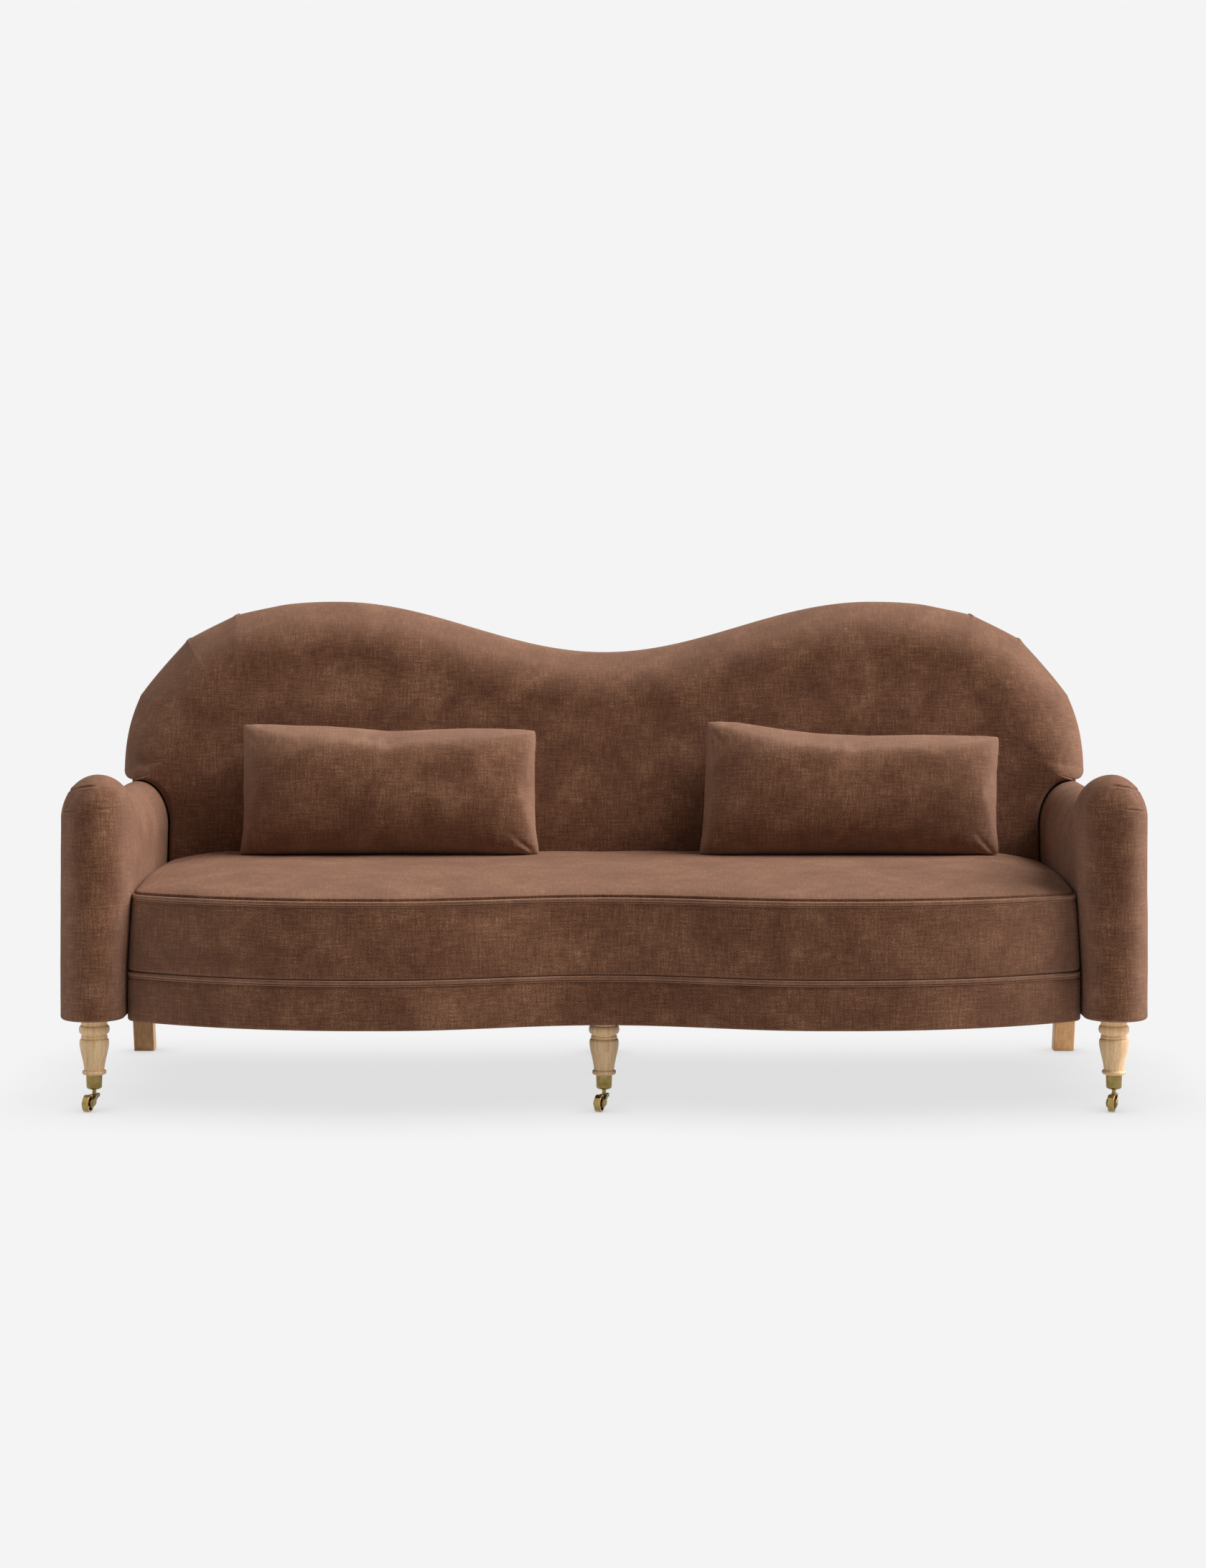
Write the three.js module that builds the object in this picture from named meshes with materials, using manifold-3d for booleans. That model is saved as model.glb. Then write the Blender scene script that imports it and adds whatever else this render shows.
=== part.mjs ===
// Two-humped camelback sofa: a tight seat with a serpentine front between rolled arms, a tall padded
// back whose wings rest on the arms, two loose lumbar pillows, three turned front legs on brass cup
// castors and three raked square back legs. Millimetres, +Z up, X along the sofa, -Y is the front.
// The origin is on the floor, under the middle of the sofa's box.
import * as THREE from "three";
import { mergeVertices } from "three/addons/utils/BufferGeometryUtils.js";
import Module from "manifold-3d";

const wasm = await Module();
wasm.setup();

// Overall sizes
const overallWidth = 2235;
const overallDepth = 940;
const overallHeight = 1030;
const underArm = 187; // floor to the underside of the arms and of the seat frame

// Clearances and tolerances
const seating = 0.3; // left between pieces that rest on each other
const overrun = 2; // how far a cutter runs past the face it cuts
const weld = 0.001; // vertices closer than this are one

// Arms: a padded wall with a round front and a rolled top that is raised at the front
const armThickness = 132;
const armFrontHeight = 688;
const armRearHeight = 631;
const armRoll = 84; // height of the rolled top
const armRearRoll = 110; // the same at the rear
const armRollPower = 2; // 2 is an ellipse, more is squarer
const armLean = 6; // how far the crest of the rolled top lies towards the seat
const armDrop = 225; // length over which the raised front falls to the rear height
const armSwell = 11; // how far the inner side swells over the seat, from the lower welt up to the upper
const armHem = 10; // rounding of the lower edge
const armSetback = 70; // how far the arm's front lies behind the seat's humps
const armBoardInset = 13; // padding round the base board
const armBoardThickness = 25;
const armPanelThickness = 18;
const armPanelInset = 42; // padding over and in front of the upright panel
const armWindowShare = 0.5; // share of the panel that its window takes, each way

// Seat frame
const railHeight = 84;
const railThickness = 22;
const centreRailWidth = 60;
const blockLeg = 70; // corner blocks, along each rail
const blockDrop = 12; // corner blocks sit this far under the rails' top
const strapWidth = 50;
const strapThickness = 2;
const strapEndShare = 0.25; // of a rail's width, from the rail's edge to a strap's end
const strapCount = 9;
const crossStrapCount = 3;
const dustCoverThickness = 1.5;
const dustCoverHole = 3; // room in the dust cover round a leg

// Seat: serpentine front with two humps, a lower border and a boxed bench cushion
const underBorder = 180.5; // floor to the lower edge of the front border
const borderThickness = 13;
const borderHem = 9;
const humpOffset = 500; // from the middle to the crest of a hump
const dipDepth = 79; // how far the middle lies behind the humps
const dipHalfWidth = 440;
const shoulderRadius = 900; // the front falls away outside a hump on this radius
const frontCorner = 24;
const upperWeltHeight = 437.5;
const weltRadius = 4.5;
const weltProud = 3.5; // how far a welt stands out of the front
const weltRoom = 1.2; // between a welt and the bottom of its groove
const cushionEase = 4; // between the cushion's side and the arm
const cushionBulge = 3; // how far the boxing swells between its two seams
const seatCrown = 43;
const crownSide = 170; // length over which the crown falls to a side
const crownPower = 2.5;
const crownSidePower = 1.3; // more makes the crown rise faster beside the arms
const crownShares = [0.01, 0.04, 0.12, 0.28, 0.55, 0.95]; // rings, from the edge to the top

// Back: raked, with two humps, and wings that lie over the arms
const backInset = 32.5; // from an arm's outer side to the back's
const backHump = 615; // from the middle to the top of a hump
const backDipHeight = 914;
const backShoulderHeight = 655; // where the rounded shoulder becomes an upright side
const backShoulderPower = 2.35;
const backRake = 0.0712; // run to rise of the rear face
const faceRake = 0.2; // run to rise of the sitting face
const backThickness = 222; // at the seat
const outsideBackThickness = 10;
const backBoardThickness = 20;
const backBoardInset = 34;
const backArmGap = 3;
const wingCorner = 22;
const crestRound = 80; // rounding of the top edge
const notchRound = 16; // rounding beside the arms and along the bottom
const backCrown = 16; // how far the padded face swells
const backSpineHeight = 720; // the face swells towards a level line at this height
const backSpineShare = 0.72; // half length of that line as a share of backHalfWidth
const backFaceShares = [0.2, 0.45, 0.75, 0.96]; // rings, from the edge to the line
const backMember = 110; // width of the back board's members

// Legs
const legInset = 66; // from the arm's front to the leg's axis
const legTuck = 2.5; // front legs stand this far inside the middle of the arms
const castorHeight = 69; // floor to the lower end of the turned wood
const legTopRadius = 27.6;
const legBeadRadius = 31.6;
const legRingRadius = 27;
const legGrooveRadius = 25.6;
const legVaseRadius = 30.4;
const legAnkleRadius = 21.1;
const legFootRadius = 25;
const legHeightShares = {
  foot: 0.095, waist: 0.3, belly: 0.47, vase: 0.6, neck: 0.65, ring: 0.73, bead: 0.88,
};
const legSwellShares = { waist: 0.36, belly: 0.74 }; // from the ankle's radius to the vase's
const spigotLength = 15;
const backLegWidth = 46;
const backLegDepth = 40;
const backLegEdge = 2.5; // rounded corners of the square legs
const backLegRake = 0.305; // run to rise
const backLegOut = 3.5; // back legs stand this far outside the middle of the arms
const boltRadius = 5;
const boltInLeg = 34;
const boltInFrame = 21;

// Castors
const cupRadius = 16.2;
const cupFootRadius = 15.3;
const cupHeight = 28;
const cupWall = 1.6;
const cupFloor = 5;
const cupBowlShares = [[0.62, 0.08], [0.88, 0.32], [1, 0.8]]; // of the foot radius and of the floor
const pintleRadius = 4;
const pintleNeck = 9.5; // shows between the cup and the yoke
const pintleHeadRadius = 7;
const pintleHeadHeight = 2.5;
const wheelRadius = 17.5;
const wheelWidth = 13;
const wheelEdge = 0.6; // broken edges of the tread
const wheelRim = 3; // thickness of the tread
const wheelWeb = 5; // thickness of the disc
const hubRadius = 6;
const axleRadius = 2.5;
const axleHeadRadius = 4;
const axleHeadHeight = 1;
const castorTrail = 33; // from the swivel axis to the wheel's axis
const cheekThickness = 2.6;
const cheekGap = 1.4; // between the wheel and a cheek
const yokeBoss = 7; // half width of the yoke at the pintle
const yokeTail = 15; // how far the yoke reaches behind the pintle's axis
const yokeDepth = 8; // height of the yoke under the pintle
const yokeEye = 8.5; // radius of a cheek round the axle
const yokeEyeTurn = 36; // degrees up from level where the horn meets the eye
const wheelClearance = 1.6;
const castorTurns = { left: 13.5, centre: 17, right: 16.6 }; // degrees, as they stand

// Lumbar pillows
const pillowWidth = 648;
const pillowHeight = 296;
const pillowThickness = 150;
const pillowDrawIn = 6; // how far the middle of a side is drawn in
const pillowLean = 12; // degrees
const pillowFullness = 0.42; // power of the rise from the seam, lower is plumper at the edges
const pillowPlaces = { left: -468, right: 537 };

// Facets
const turnedSides = 20;
const wheelSides = 20;
const boltSides = 8;
const weltSides = 4; // per half turn
const frontSteps = 38;
const pillowFacets = { across: 14, up: 8 };

// Colours
const finish = (color, roughness, metalness) =>
  new THREE.MeshStandardMaterial({ color, roughness, metalness });
const chenille = finish(0x7b5747, 0.9, 0);
const beech = finish(0xd8b88c, 0.45, 0);
const poplar = finish(0xc9a877, 0.7, 0);
const jute = finish(0xb59b6d, 0.95, 0);
const cambric = finish(0x1b1b1d, 0.95, 0);
const brass = finish(0x8f7a45, 0.28, 1);
const steel = finish(0xa8abae, 0.4, 1);

const sofa = new THREE.Group();
const place = (name, geometry, material, group = sofa) => {
  const mesh = new THREE.Mesh(geometry, material);
  mesh.name = name;
  group.add(mesh);
};

// Solids that can be cut and joined
function solidFrom(geometry) {
  const bare = geometry.index ? geometry.toNonIndexed() : geometry.clone();
  bare.deleteAttribute("normal");
  bare.deleteAttribute("uv");
  const merged = mergeVertices(bare, weld);
  const triVerts = new Uint32Array(merged.index.array);
  const vertProperties = merged.attributes.position.array;
  return new wasm.Manifold(new wasm.Mesh({ numProp: 3, vertProperties, triVerts }));
}

function geometryFrom(solid) {
  const mesh = solid.getMesh();
  const geometry = new THREE.BufferGeometry();
  geometry.setAttribute("position", new THREE.BufferAttribute(mesh.vertProperties, 3));
  geometry.setIndex(new THREE.BufferAttribute(mesh.triVerts, 1));
  geometry.computeVertexNormals();
  return geometry;
}

const combine = (way, first, others) =>
  geometryFrom(others.reduce((solid, other) => solid[way](solidFrom(other)), solidFrom(first)));
const cut = (body, ...cutters) => combine("subtract", body, cutters);
const join = (body, ...others) => combine("add", body, others);
const common = (body, other) => combine("intersect", body, [other]);

const steps = (from, to, count) =>
  Array.from({ length: count + 1 }, (_, i) => from + ((to - from) * i) / count);
const mixed = (a, b, share) => a + (b - a) * share;
const smooth = (value) => {
  const t = Math.min(1, Math.max(0, value));
  return t * t * (3 - 2 * t);
};
const radians = THREE.MathUtils.degToRad;
const flatXY = (p) => new THREE.Vector2(p.x, p.y);
const flatXZ = (p) => new THREE.Vector2(p.x, p.z);

// Triangles over a flat outline that use every point, also those on its straight stretches, which
// the triangulation leaves out. Each of those is put back into the triangle beside it.
function capFaces(outline) {
  const count = outline.length;
  const faces = THREE.ShapeUtils.triangulateShape([...outline], []);
  const used = new Set(faces.flat());
  const start = faces[0][0];
  for (let i = start + 1; i < start + count; i++) {
    const point = i % count;
    if (used.has(point)) continue;
    let after = (i + 1) % count;
    while (!used.has(after)) after = (after + 1) % count;
    const before = (i + count - 1) % count;
    const touching = (face) => face.includes(before) && face.includes(after);
    const face = faces.splice(faces.findIndex(touching), 1)[0];
    faces.push(face.map((v) => (v === before ? point : v)), face.map((v) => (v === after ? point : v)));
    used.add(point);
  }
  return faces;
}

// Skins rings of equal count, each counter-clockwise seen from where the rings advance to. The end
// rings are capped, and `flatten` gives a point's place in the plane of a cap.
function loft(rings, flatten) {
  const count = rings[0].length;
  const index = [];
  for (let ring = 0; ring + 1 < rings.length; ring++)
    for (let j = 0; j < count; j++) {
      const a = ring * count + j;
      const b = ring * count + ((j + 1) % count);
      index.push(a, b, a + count, b, b + count, a + count);
    }
  const last = rings.length - 1;
  capFaces(rings[0].map(flatten)).forEach(([a, b, c]) => index.push(a, c, b));
  capFaces(rings[last].map(flatten)).forEach((face) => index.push(...face.map((v) => v + last * count)));
  const geometry = new THREE.BufferGeometry().setFromPoints(rings.flat());
  geometry.setIndex(index);
  geometry.computeVertexNormals();
  return geometry;
}

// A box between two corners.
function block(low, high) {
  const geometry = new THREE.BoxGeometry(high[0] - low[0], high[1] - low[1], high[2] - low[2]);
  return geometry.translate((low[0] + high[0]) / 2, (low[1] + high[1]) / 2, (low[2] + high[2]) / 2);
}

// A piece turned about an upright axis. The profile lists [radius, height], going up the outside.
function turned(profile, sides) {
  const points = profile.map(([radius, height]) => new THREE.Vector2(radius, height));
  return new THREE.LatheGeometry(points, sides).rotateX(Math.PI / 2);
}
const rod = (radius, low, high, sides) =>
  turned([[0, low], [radius, low], [radius, high], [0, high]], sides);

// A side view drawn in [y, z] and given a width along X, centred on x.
function sideways(shape, width, x, curveSegments) {
  const across = new THREE.Matrix4().makeBasis(
    new THREE.Vector3(0, 1, 0), new THREE.Vector3(0, 0, 1), new THREE.Vector3(1, 0, 0));
  return new THREE.ExtrudeGeometry(shape, { depth: width, bevelEnabled: false, curveSegments })
    .applyMatrix4(across)
    .translate(x - width / 2, 0, 0);
}

// The same piece on the other side of the sofa.
function mirrored(geometry) {
  const copy = (geometry.index ? geometry.toNonIndexed() : geometry.clone()).scale(-1, 1, 1);
  const spots = copy.attributes.position.array;
  for (let i = 0; i < spots.length; i += 9) {
    const first = spots.slice(i, i + 3);
    spots.copyWithin(i, i + 3, i + 6);
    spots.set(first, i + 3);
  }
  copy.computeVertexNormals();
  return copy;
}
const placePair = (name, geometry, material) => {
  place("right_" + name, geometry, material);
  place("left_" + name, mirrored(geometry), material);
};

// Planes and curves that several pieces share
const humpLine = weltProud - overallDepth / 2; // front of the seat's humps, behind the welts
const armFront = humpLine + armSetback;
const armHalf = armThickness / 2;
const armAxis = armFront + armHalf; // the round front turns about this line
const legLine = armFront + legInset;
const rearFace = (z) => overallDepth / 2 - backRake * (overallHeight - z);
const rearInside = (z) => rearFace(z) - outsideBackThickness - seating;
const timberRear = rearInside(underArm) - seating;
const armLength = timberRear - armAxis;
const armCentre = overallWidth / 2 - armHalf;
const armInner = armCentre - armHalf;
const armFall = (y) => smooth((y - armAxis) / armDrop);
const armTop = (y) => mixed(armFrontHeight, armRearHeight, armFall(y));
const armRise = (y) => mixed(armRoll, armRearRoll, armFall(y));
const seatTop = upperWeltHeight + seatCrown;
const faceLine = (z) => rearFace(seatTop) - backThickness + faceRake * (z - seatTop);
const railTop = underArm + railHeight;
const webLow = railTop + seating;
const webHigh = webLow + strapThickness;
const cushionLow = webHigh + seating;
const lowerWeltHeight = cushionLow + weltRadius;
const legHigh = underArm - seating;
const backHalfWidth = overallWidth / 2 - backInset;

// How far an arm's inner side has swelled at a height.
function swellAt(z) {
  const share = (z - lowerWeltHeight) / (upperWeltHeight - lowerWeltHeight);
  return armSwell * Math.min(1, Math.max(0, share));
}

// A superellipse's quarter: 1 at 0 and 0 at 1.
const roll = (value, power) => (1 - Math.min(1, value) ** power) ** (1 / power);
const squared = (value, power) => Math.sign(value) * Math.abs(value) ** (2 / power);

function seatFront(x) {
  const out = Math.abs(x);
  const swing = Math.cos((Math.PI * Math.min(out, dipHalfWidth)) / dipHalfWidth);
  const past = Math.min(shoulderRadius, Math.max(0, out - humpOffset));
  const fall = shoulderRadius - Math.sqrt(shoulderRadius ** 2 - past ** 2);
  return humpLine + (dipDepth / 2) * (1 + swing) + fall;
}

// The seat's front edge from left to right, `inset` in from its face, with rounded corners. `narrow`
// is how far the arms have swelled at its height.
function frontEdge(inset, narrow = 0) {
  const half = armInner - cushionEase - narrow - Math.max(0, inset);
  const corner = half - frontCorner;
  const slope = (x) => (seatFront(x + seating) - seatFront(x - seating)) / (2 * seating);
  const at = (x, back) => new THREE.Vector2(x, seatFront(x) + inset * Math.hypot(1, slope(x)) + back);
  const bend = (side) =>
    new THREE.QuadraticBezierCurve(at(side * corner, 0), at(side * half, 0), at(side * half, frontCorner))
      .getPoints(4)
      .slice(1);
  return [...bend(-1).reverse(), ...steps(-corner, corner, frontSteps).map((x) => at(x, 0)), ...bend(1)];
}

// Bolts that fasten a leg to the frame over it.
const bolt = (grow, x, y) =>
  rod(boltRadius + grow, underArm - boltInLeg - grow, underArm + boltInFrame + grow, boltSides)
    .translate(x, y, 0);

const frontLegs = {
  left: legTuck - armCentre,
  centre: 0,
  right: armCentre - legTuck,
};
const backLegLine = timberRear - backLegDepth / 2;
const backLegs = {
  left: [-armCentre - backLegOut, backLegLine],
  centre: [0, backLegLine - railThickness - seating],
  right: [armCentre + backLegOut, backLegLine],
};

// The arm's rolled top, from 0 on its outer side to half a turn on its inner side: how far a point
// lies out from the arm's centre and up from the shoulder. Its crest leans towards the seat.
function armRollPoint(angle, rise, grow, squeeze) {
  const half = armHalf + (angle > Math.PI / 2 ? armSwell : 0);
  const lean = armLean * squeeze * Math.sin(angle);
  return {
    across: (half * squeeze + grow) * squared(Math.cos(angle), armRollPower) - lean,
    up: (rise * squeeze + grow) * squared(Math.sin(angle), armRollPower),
  };
}

// Arms. A section of the arm: `yAt` gives a point's y from its height, `rise` is the height of its
// rolled top, and `squeeze` narrows the section and that top towards the round front.
function armRing(yAt, top, rise, squeeze) {
  const half = armHalf * squeeze;
  const hem = Math.min(armHem, half);
  const points = [];
  const add = (across, z) => points.push(new THREE.Vector3(armCentre + across, yAt(z), z));
  const hemArc = (side, from, to) =>
    steps(from, to, 2).forEach((angle) =>
      add(side * (half - hem) + hem * Math.cos(angle), underArm + hem + hem * Math.sin(angle)));
  hemArc(1, -Math.PI / 2, 0);
  for (const angle of steps(0, Math.PI, 12)) {
    const { across, up } = armRollPoint(angle, rise, 0, squeeze);
    add(across, top - rise + up);
  }
  for (const z of [upperWeltHeight, lowerWeltHeight]) add(-half - swellAt(z) * squeeze, z);
  hemArc(-1, Math.PI, (3 * Math.PI) / 2);
  return points;
}

function armSolid() {
  const dropShare = armDrop / armLength;
  const rings = [1, ...steps(dropShare, 0, 5)].map((share) => {
    const y = armAxis + armLength * share;
    return armRing((z) => mixed(armAxis, rearInside(z), share), armTop(y), armRise(y), 1);
  });
  for (const angle of steps(75, 15, 4).map(radians)) {
    const y = armAxis - armHalf * Math.cos(angle);
    rings.push(armRing(() => y, armFrontHeight, armRoll, Math.sin(angle)));
  }
  return loft(rings, flatXZ);
}

// The base board is a long slab with a round front, open to the floor. `grow` makes its cutter.
function armBoard(grow) {
  const half = armHalf - armBoardInset + grow;
  const rear = grow > 0 ? overallDepth / 2 : timberRear;
  const low = grow > 0 ? underArm - overrun : underArm;
  const shape = new THREE.Shape();
  shape.absarc(armCentre, armAxis, half, Math.PI, 2 * Math.PI, false);
  shape.lineTo(armCentre + half, rear);
  shape.lineTo(armCentre - half, rear);
  const depth = underArm + armBoardThickness + grow - low;
  return new THREE.ExtrudeGeometry(shape, { depth, bevelEnabled: false, curveSegments: 8 })
    .translate(0, 0, low);
}

// The upright panel follows the arm's side view. A window lightens it, which the padding fills.
function armPanel(grow) {
  const low = underArm + armBoardThickness + seating - grow;
  const front = armFront + armPanelInset - grow;
  const rear = timberRear - armPanelInset + grow;
  const nose = (y) => armRoll * (1 - roll(Math.max(0, armAxis - y) / armHalf, 2));
  const crest = steps(armAxis + armDrop, front, 8).map(
    (y) => new THREE.Vector2(y, armTop(y) - nose(y) - armPanelInset + grow));
  const shape = new THREE.Shape([
    new THREE.Vector2(front, low),
    new THREE.Vector2(rear, low),
    new THREE.Vector2(rear, armRearHeight - armPanelInset + grow),
    ...crest,
  ]);
  const halfLong = (rear - front) / 2 - grow;
  const halfTall = (armRearHeight - armPanelInset - low - grow) / 2;
  const window = new THREE.Path();
  window.absellipse(
    (front + rear) / 2, low + grow + halfTall,
    halfLong * armWindowShare - grow, halfTall * armWindowShare - grow,
    0, 2 * Math.PI, true);
  shape.holes.push(window);
  return sideways(shape, armPanelThickness + 2 * grow, armCentre, 10);
}

const armBolts = [[frontLegs.right, legLine], backLegs.right].map(([x, y]) => bolt(seating, x, y));
placePair("arm_pad", cut(armSolid(), armBoard(seating), armPanel(seating)), chenille);
placePair("arm_board", cut(armBoard(0), ...armBolts), poplar);
placePair("arm_panel", armPanel(0), poplar);

// Seat frame. A strip behind the seat's front face, from `near` to `far` in from it, over levels
// that each give a height and how far the outer face is drawn in there.
function frontStrip(near, far, levels) {
  const rings = levels.map(([z, drawn]) =>
    [...frontEdge(near + drawn), ...frontEdge(far).reverse()].map((p) => new THREE.Vector3(p.x, p.y, z)));
  return loft(rings, flatXY);
}

const railNear = borderThickness + seating;
const railFar = railNear + railThickness;
place("front_rail", frontStrip(railNear, railFar, [[underArm, 0], [railTop, 0]]), poplar);

const backRailFront = timberRear - railThickness;
const sideOuter = armInner - seating;
place(
  "back_rail",
  block([-sideOuter, backRailFront, underArm], [sideOuter, timberRear, railTop]),
  poplar,
);

// The side rails lie along the arms, from the front rail's end to the back rail.
const sideFront = frontEdge(railNear).pop().y + seating;
const sideRear = backRailFront - seating;
placePair(
  "side_rail",
  cut(
    block([sideOuter - railThickness, sideFront, underArm], [sideOuter, sideRear, railTop]),
    frontStrip(railNear - seating, railFar + seating, [
      [underArm - overrun, 0],
      [railTop + overrun, 0],
    ]),
  ),
  poplar,
);

place(
  "centre_rail",
  cut(
    block(
      [-centreRailWidth / 2, seatFront(0) + railFar + seating, underArm],
      [centreRailWidth / 2, sideRear, railTop],
    ),
    bolt(seating, 0, legLine),
    bolt(seating, ...backLegs.centre),
  ),
  poplar,
);

// Corner blocks tie the back rail to the side rails.
const blockX = sideOuter - railThickness - seating;
const cornerBlock = new THREE.Shape([
  new THREE.Vector2(blockX, sideRear),
  new THREE.Vector2(blockX - blockLeg, sideRear),
  new THREE.Vector2(blockX, sideRear - blockLeg),
]);
const blockLow = underArm + blockDrop;
placePair(
  "corner_block",
  new THREE.ExtrudeGeometry(cornerBlock, { depth: railTop - blockDrop - blockLow, bevelEnabled: false })
    .translate(0, 0, blockLow),
  poplar,
);

// Webbing runs from the front rail to the back rail, with cross straps from side to side.
const strapEnd = railThickness * strapEndShare;
const strapPitch = (2 * (sideOuter - strapWidth)) / strapCount;
const straps = steps((1 - strapCount) / 2, (strapCount - 1) / 2, strapCount - 1).map((k) => {
  const left = k * strapPitch - strapWidth / 2;
  const right = left + strapWidth;
  const front = Math.max(seatFront(left), seatFront(right)) + railNear + strapEnd;
  return block([left, front, webLow], [right, backRailFront + strapEnd, webHigh]);
});
const crossPitch = (sideRear - sideFront) / (crossStrapCount + 1);
const crossStraps = steps(1, crossStrapCount, crossStrapCount - 1).map((k) => {
  const y = sideFront + k * crossPitch;
  const reach = sideOuter - strapEnd;
  return block([-reach, y - strapWidth / 2, webLow], [reach, y + strapWidth / 2, webHigh]);
});
place("seat_webbing", join(...straps, ...crossStraps), jute);

// Welts run in the seams of the seat's front and turn in beside the arms. Their sections stand at the
// route's own points, close together round the corners, as the seat's own do.
function welt(z) {
  const edge = frontEdge(weltRadius - weltProud, swellAt(z)).map((p) => new THREE.Vector3(p.x, p.y, z));
  const end = edge[edge.length - 1];
  const tail = new THREE.Vector3(end.x, end.y + frontCorner, z);
  const route = [tail.clone().setX(-end.x), ...edge, tail];
  const path = new THREE.CatmullRomCurve3(route, false, "centripetal");
  path.getUtoTmapping = (share) => share;
  const section = new THREE.Shape().absarc(0, 0, weltRadius, 0, 2 * Math.PI, false);
  return new THREE.ExtrudeGeometry(section, {
    extrudePath: path,
    steps: route.length - 1,
    curveSegments: weltSides,
    bevelEnabled: false,
  });
}
place("lower_welt", welt(lowerWeltHeight), chenille);
place("upper_welt", welt(upperWeltHeight), chenille);

const border = frontStrip(0, borderThickness, [
  [underBorder, borderHem / 2],
  [underBorder + borderHem, 0],
  [cushionLow - seating, 0],
]);
place("front_border", border, chenille);

// One level of the bench cushion, drawn a share of the way from its edge to the crown's rear line.
function cushionRing(z, inset, share) {
  const front = frontEdge(inset, swellAt(z));
  const rear = faceLine(z) - backCrown - seating;
  const right = armInner - swellAt(z) - cushionEase - Math.max(0, inset);
  const side = front[front.length - 1];
  const sides = [1 / 4, 1 / 2, 3 / 4].map(
    (part) => new THREE.Vector2(mixed(side.x, right, part), mixed(side.y, rear, part)));
  const leftSides = sides.map((p) => new THREE.Vector2(-p.x, p.y)).reverse();
  const rears = steps(right, -right, 16).map((x) => new THREE.Vector2(x, rear));
  const level = right - crownSide;
  return [...front, ...sides, ...rears, ...leftSides].map((p) => {
    const x = Math.min(level, Math.max(-level, p.x));
    return new THREE.Vector3(mixed(p.x, x, share ** crownSidePower), mixed(p.y, rear, share), z);
  });
}
const groove = 2 * weltRadius - weltProud + weltRoom;
const weltReach = weltRadius + seating;
const seatCushion = [
  [cushionLow, groove],
  [lowerWeltHeight + weltReach, groove],
  [lowerWeltHeight + weltReach, 0],
  [(lowerWeltHeight + upperWeltHeight) / 2, -cushionBulge],
  [upperWeltHeight - weltReach, 0],
  [upperWeltHeight - weltReach, groove],
  [upperWeltHeight + weltReach, groove],
  [upperWeltHeight + weltReach, 0],
].map(([z, inset]) => cushionRing(z, inset, 0));
const crownLow = upperWeltHeight + weltReach;
for (const share of crownShares)
  seatCushion.push(cushionRing(mixed(crownLow, seatTop, roll(1 - share, crownPower)), 0, share));
place("seat_cushion", loft(seatCushion, flatXY), chenille);

// Dust cover under the frame, with holes for the middle legs
const dustLow = legHigh - dustCoverThickness;
const dustOutline = (z) => {
  const rear = [sideOuter, -sideOuter].map((x) => new THREE.Vector2(x, timberRear));
  return [...frontEdge(railNear), ...rear].map((p) => new THREE.Vector3(p.x, p.y, z));
};
const frontLegHole = rod(legTopRadius + dustCoverHole, dustLow - overrun, legHigh + overrun, turnedSides)
  .translate(0, legLine, 0);
const backHoleHalf = [backLegWidth / 2 + dustCoverHole, backLegDepth / 2 + dustCoverHole];
const backLegHole = block(
  [-backHoleHalf[0], backLegs.centre[1] - backHoleHalf[1], dustLow - overrun],
  [backHoleHalf[0], backLegs.centre[1] + backHoleHalf[1], legHigh + overrun],
);
place(
  "dust_cover",
  cut(loft([dustOutline(dustLow), dustOutline(legHigh)], flatXY), frontLegHole, backLegHole),
  cambric,
);

// Back
const backSpineHalf = backHalfWidth * backSpineShare;
function backTop(x) {
  const out = Math.abs(x);
  const swing = (1 - Math.cos((Math.PI * out) / backHump)) / 2;
  if (out < backHump) return mixed(backDipHeight, overallHeight, swing);
  const along = (out - backHump) / (backHalfWidth - backHump);
  return mixed(backShoulderHeight, overallHeight, roll(along, backShoulderPower));
}

// The right half of the back's outline from the bottom middle to the top middle, each point with the
// rounding of the padding there. It steps round the arm's section, a little way off.
function backHalfOutline() {
  const points = [];
  const add = (x, z, round) => points.push({ x, z, round });
  const inner = armInner - backArmGap;
  const shoulder = armRearHeight - armRearRoll;
  for (const x of steps(0, inner, 8)) add(x, cushionLow, notchRound);
  for (const z of steps(upperWeltHeight, shoulder, 2)) add(inner - armSwell, z, notchRound);
  for (const angle of steps(Math.PI, Math.PI / 2, 6).slice(1)) {
    const { across, up } = armRollPoint(angle, armRearRoll, backArmGap, 1);
    add(armCentre + across, shoulder + up, notchRound);
  }
  const cornerX = backHalfWidth - wingCorner;
  const cornerZ = armRearHeight + backArmGap + wingCorner;
  for (const share of steps(0, 1, 3)) {
    const angle = ((share - 1) * Math.PI) / 2;
    const round = mixed(notchRound, crestRound / 2, share);
    add(cornerX + wingCorner * Math.cos(angle), cornerZ + wingCorner * Math.sin(angle), round);
  }
  for (const angle of steps(0, Math.PI / 2, 12).slice(1, -1)) {
    const x = mixed(backHump, backHalfWidth, squared(Math.cos(angle), backShoulderPower));
    add(x, backTop(x), crestRound);
  }
  for (const x of steps(backHump, 0, 9)) add(x, backTop(x), crestRound);
  return points;
}
const rightOutline = backHalfOutline();
const leftOutline = rightOutline.slice(1, -1).map((p) => ({ ...p, x: -p.x })).reverse();
const backOutline = [...rightOutline, ...leftOutline];

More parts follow.
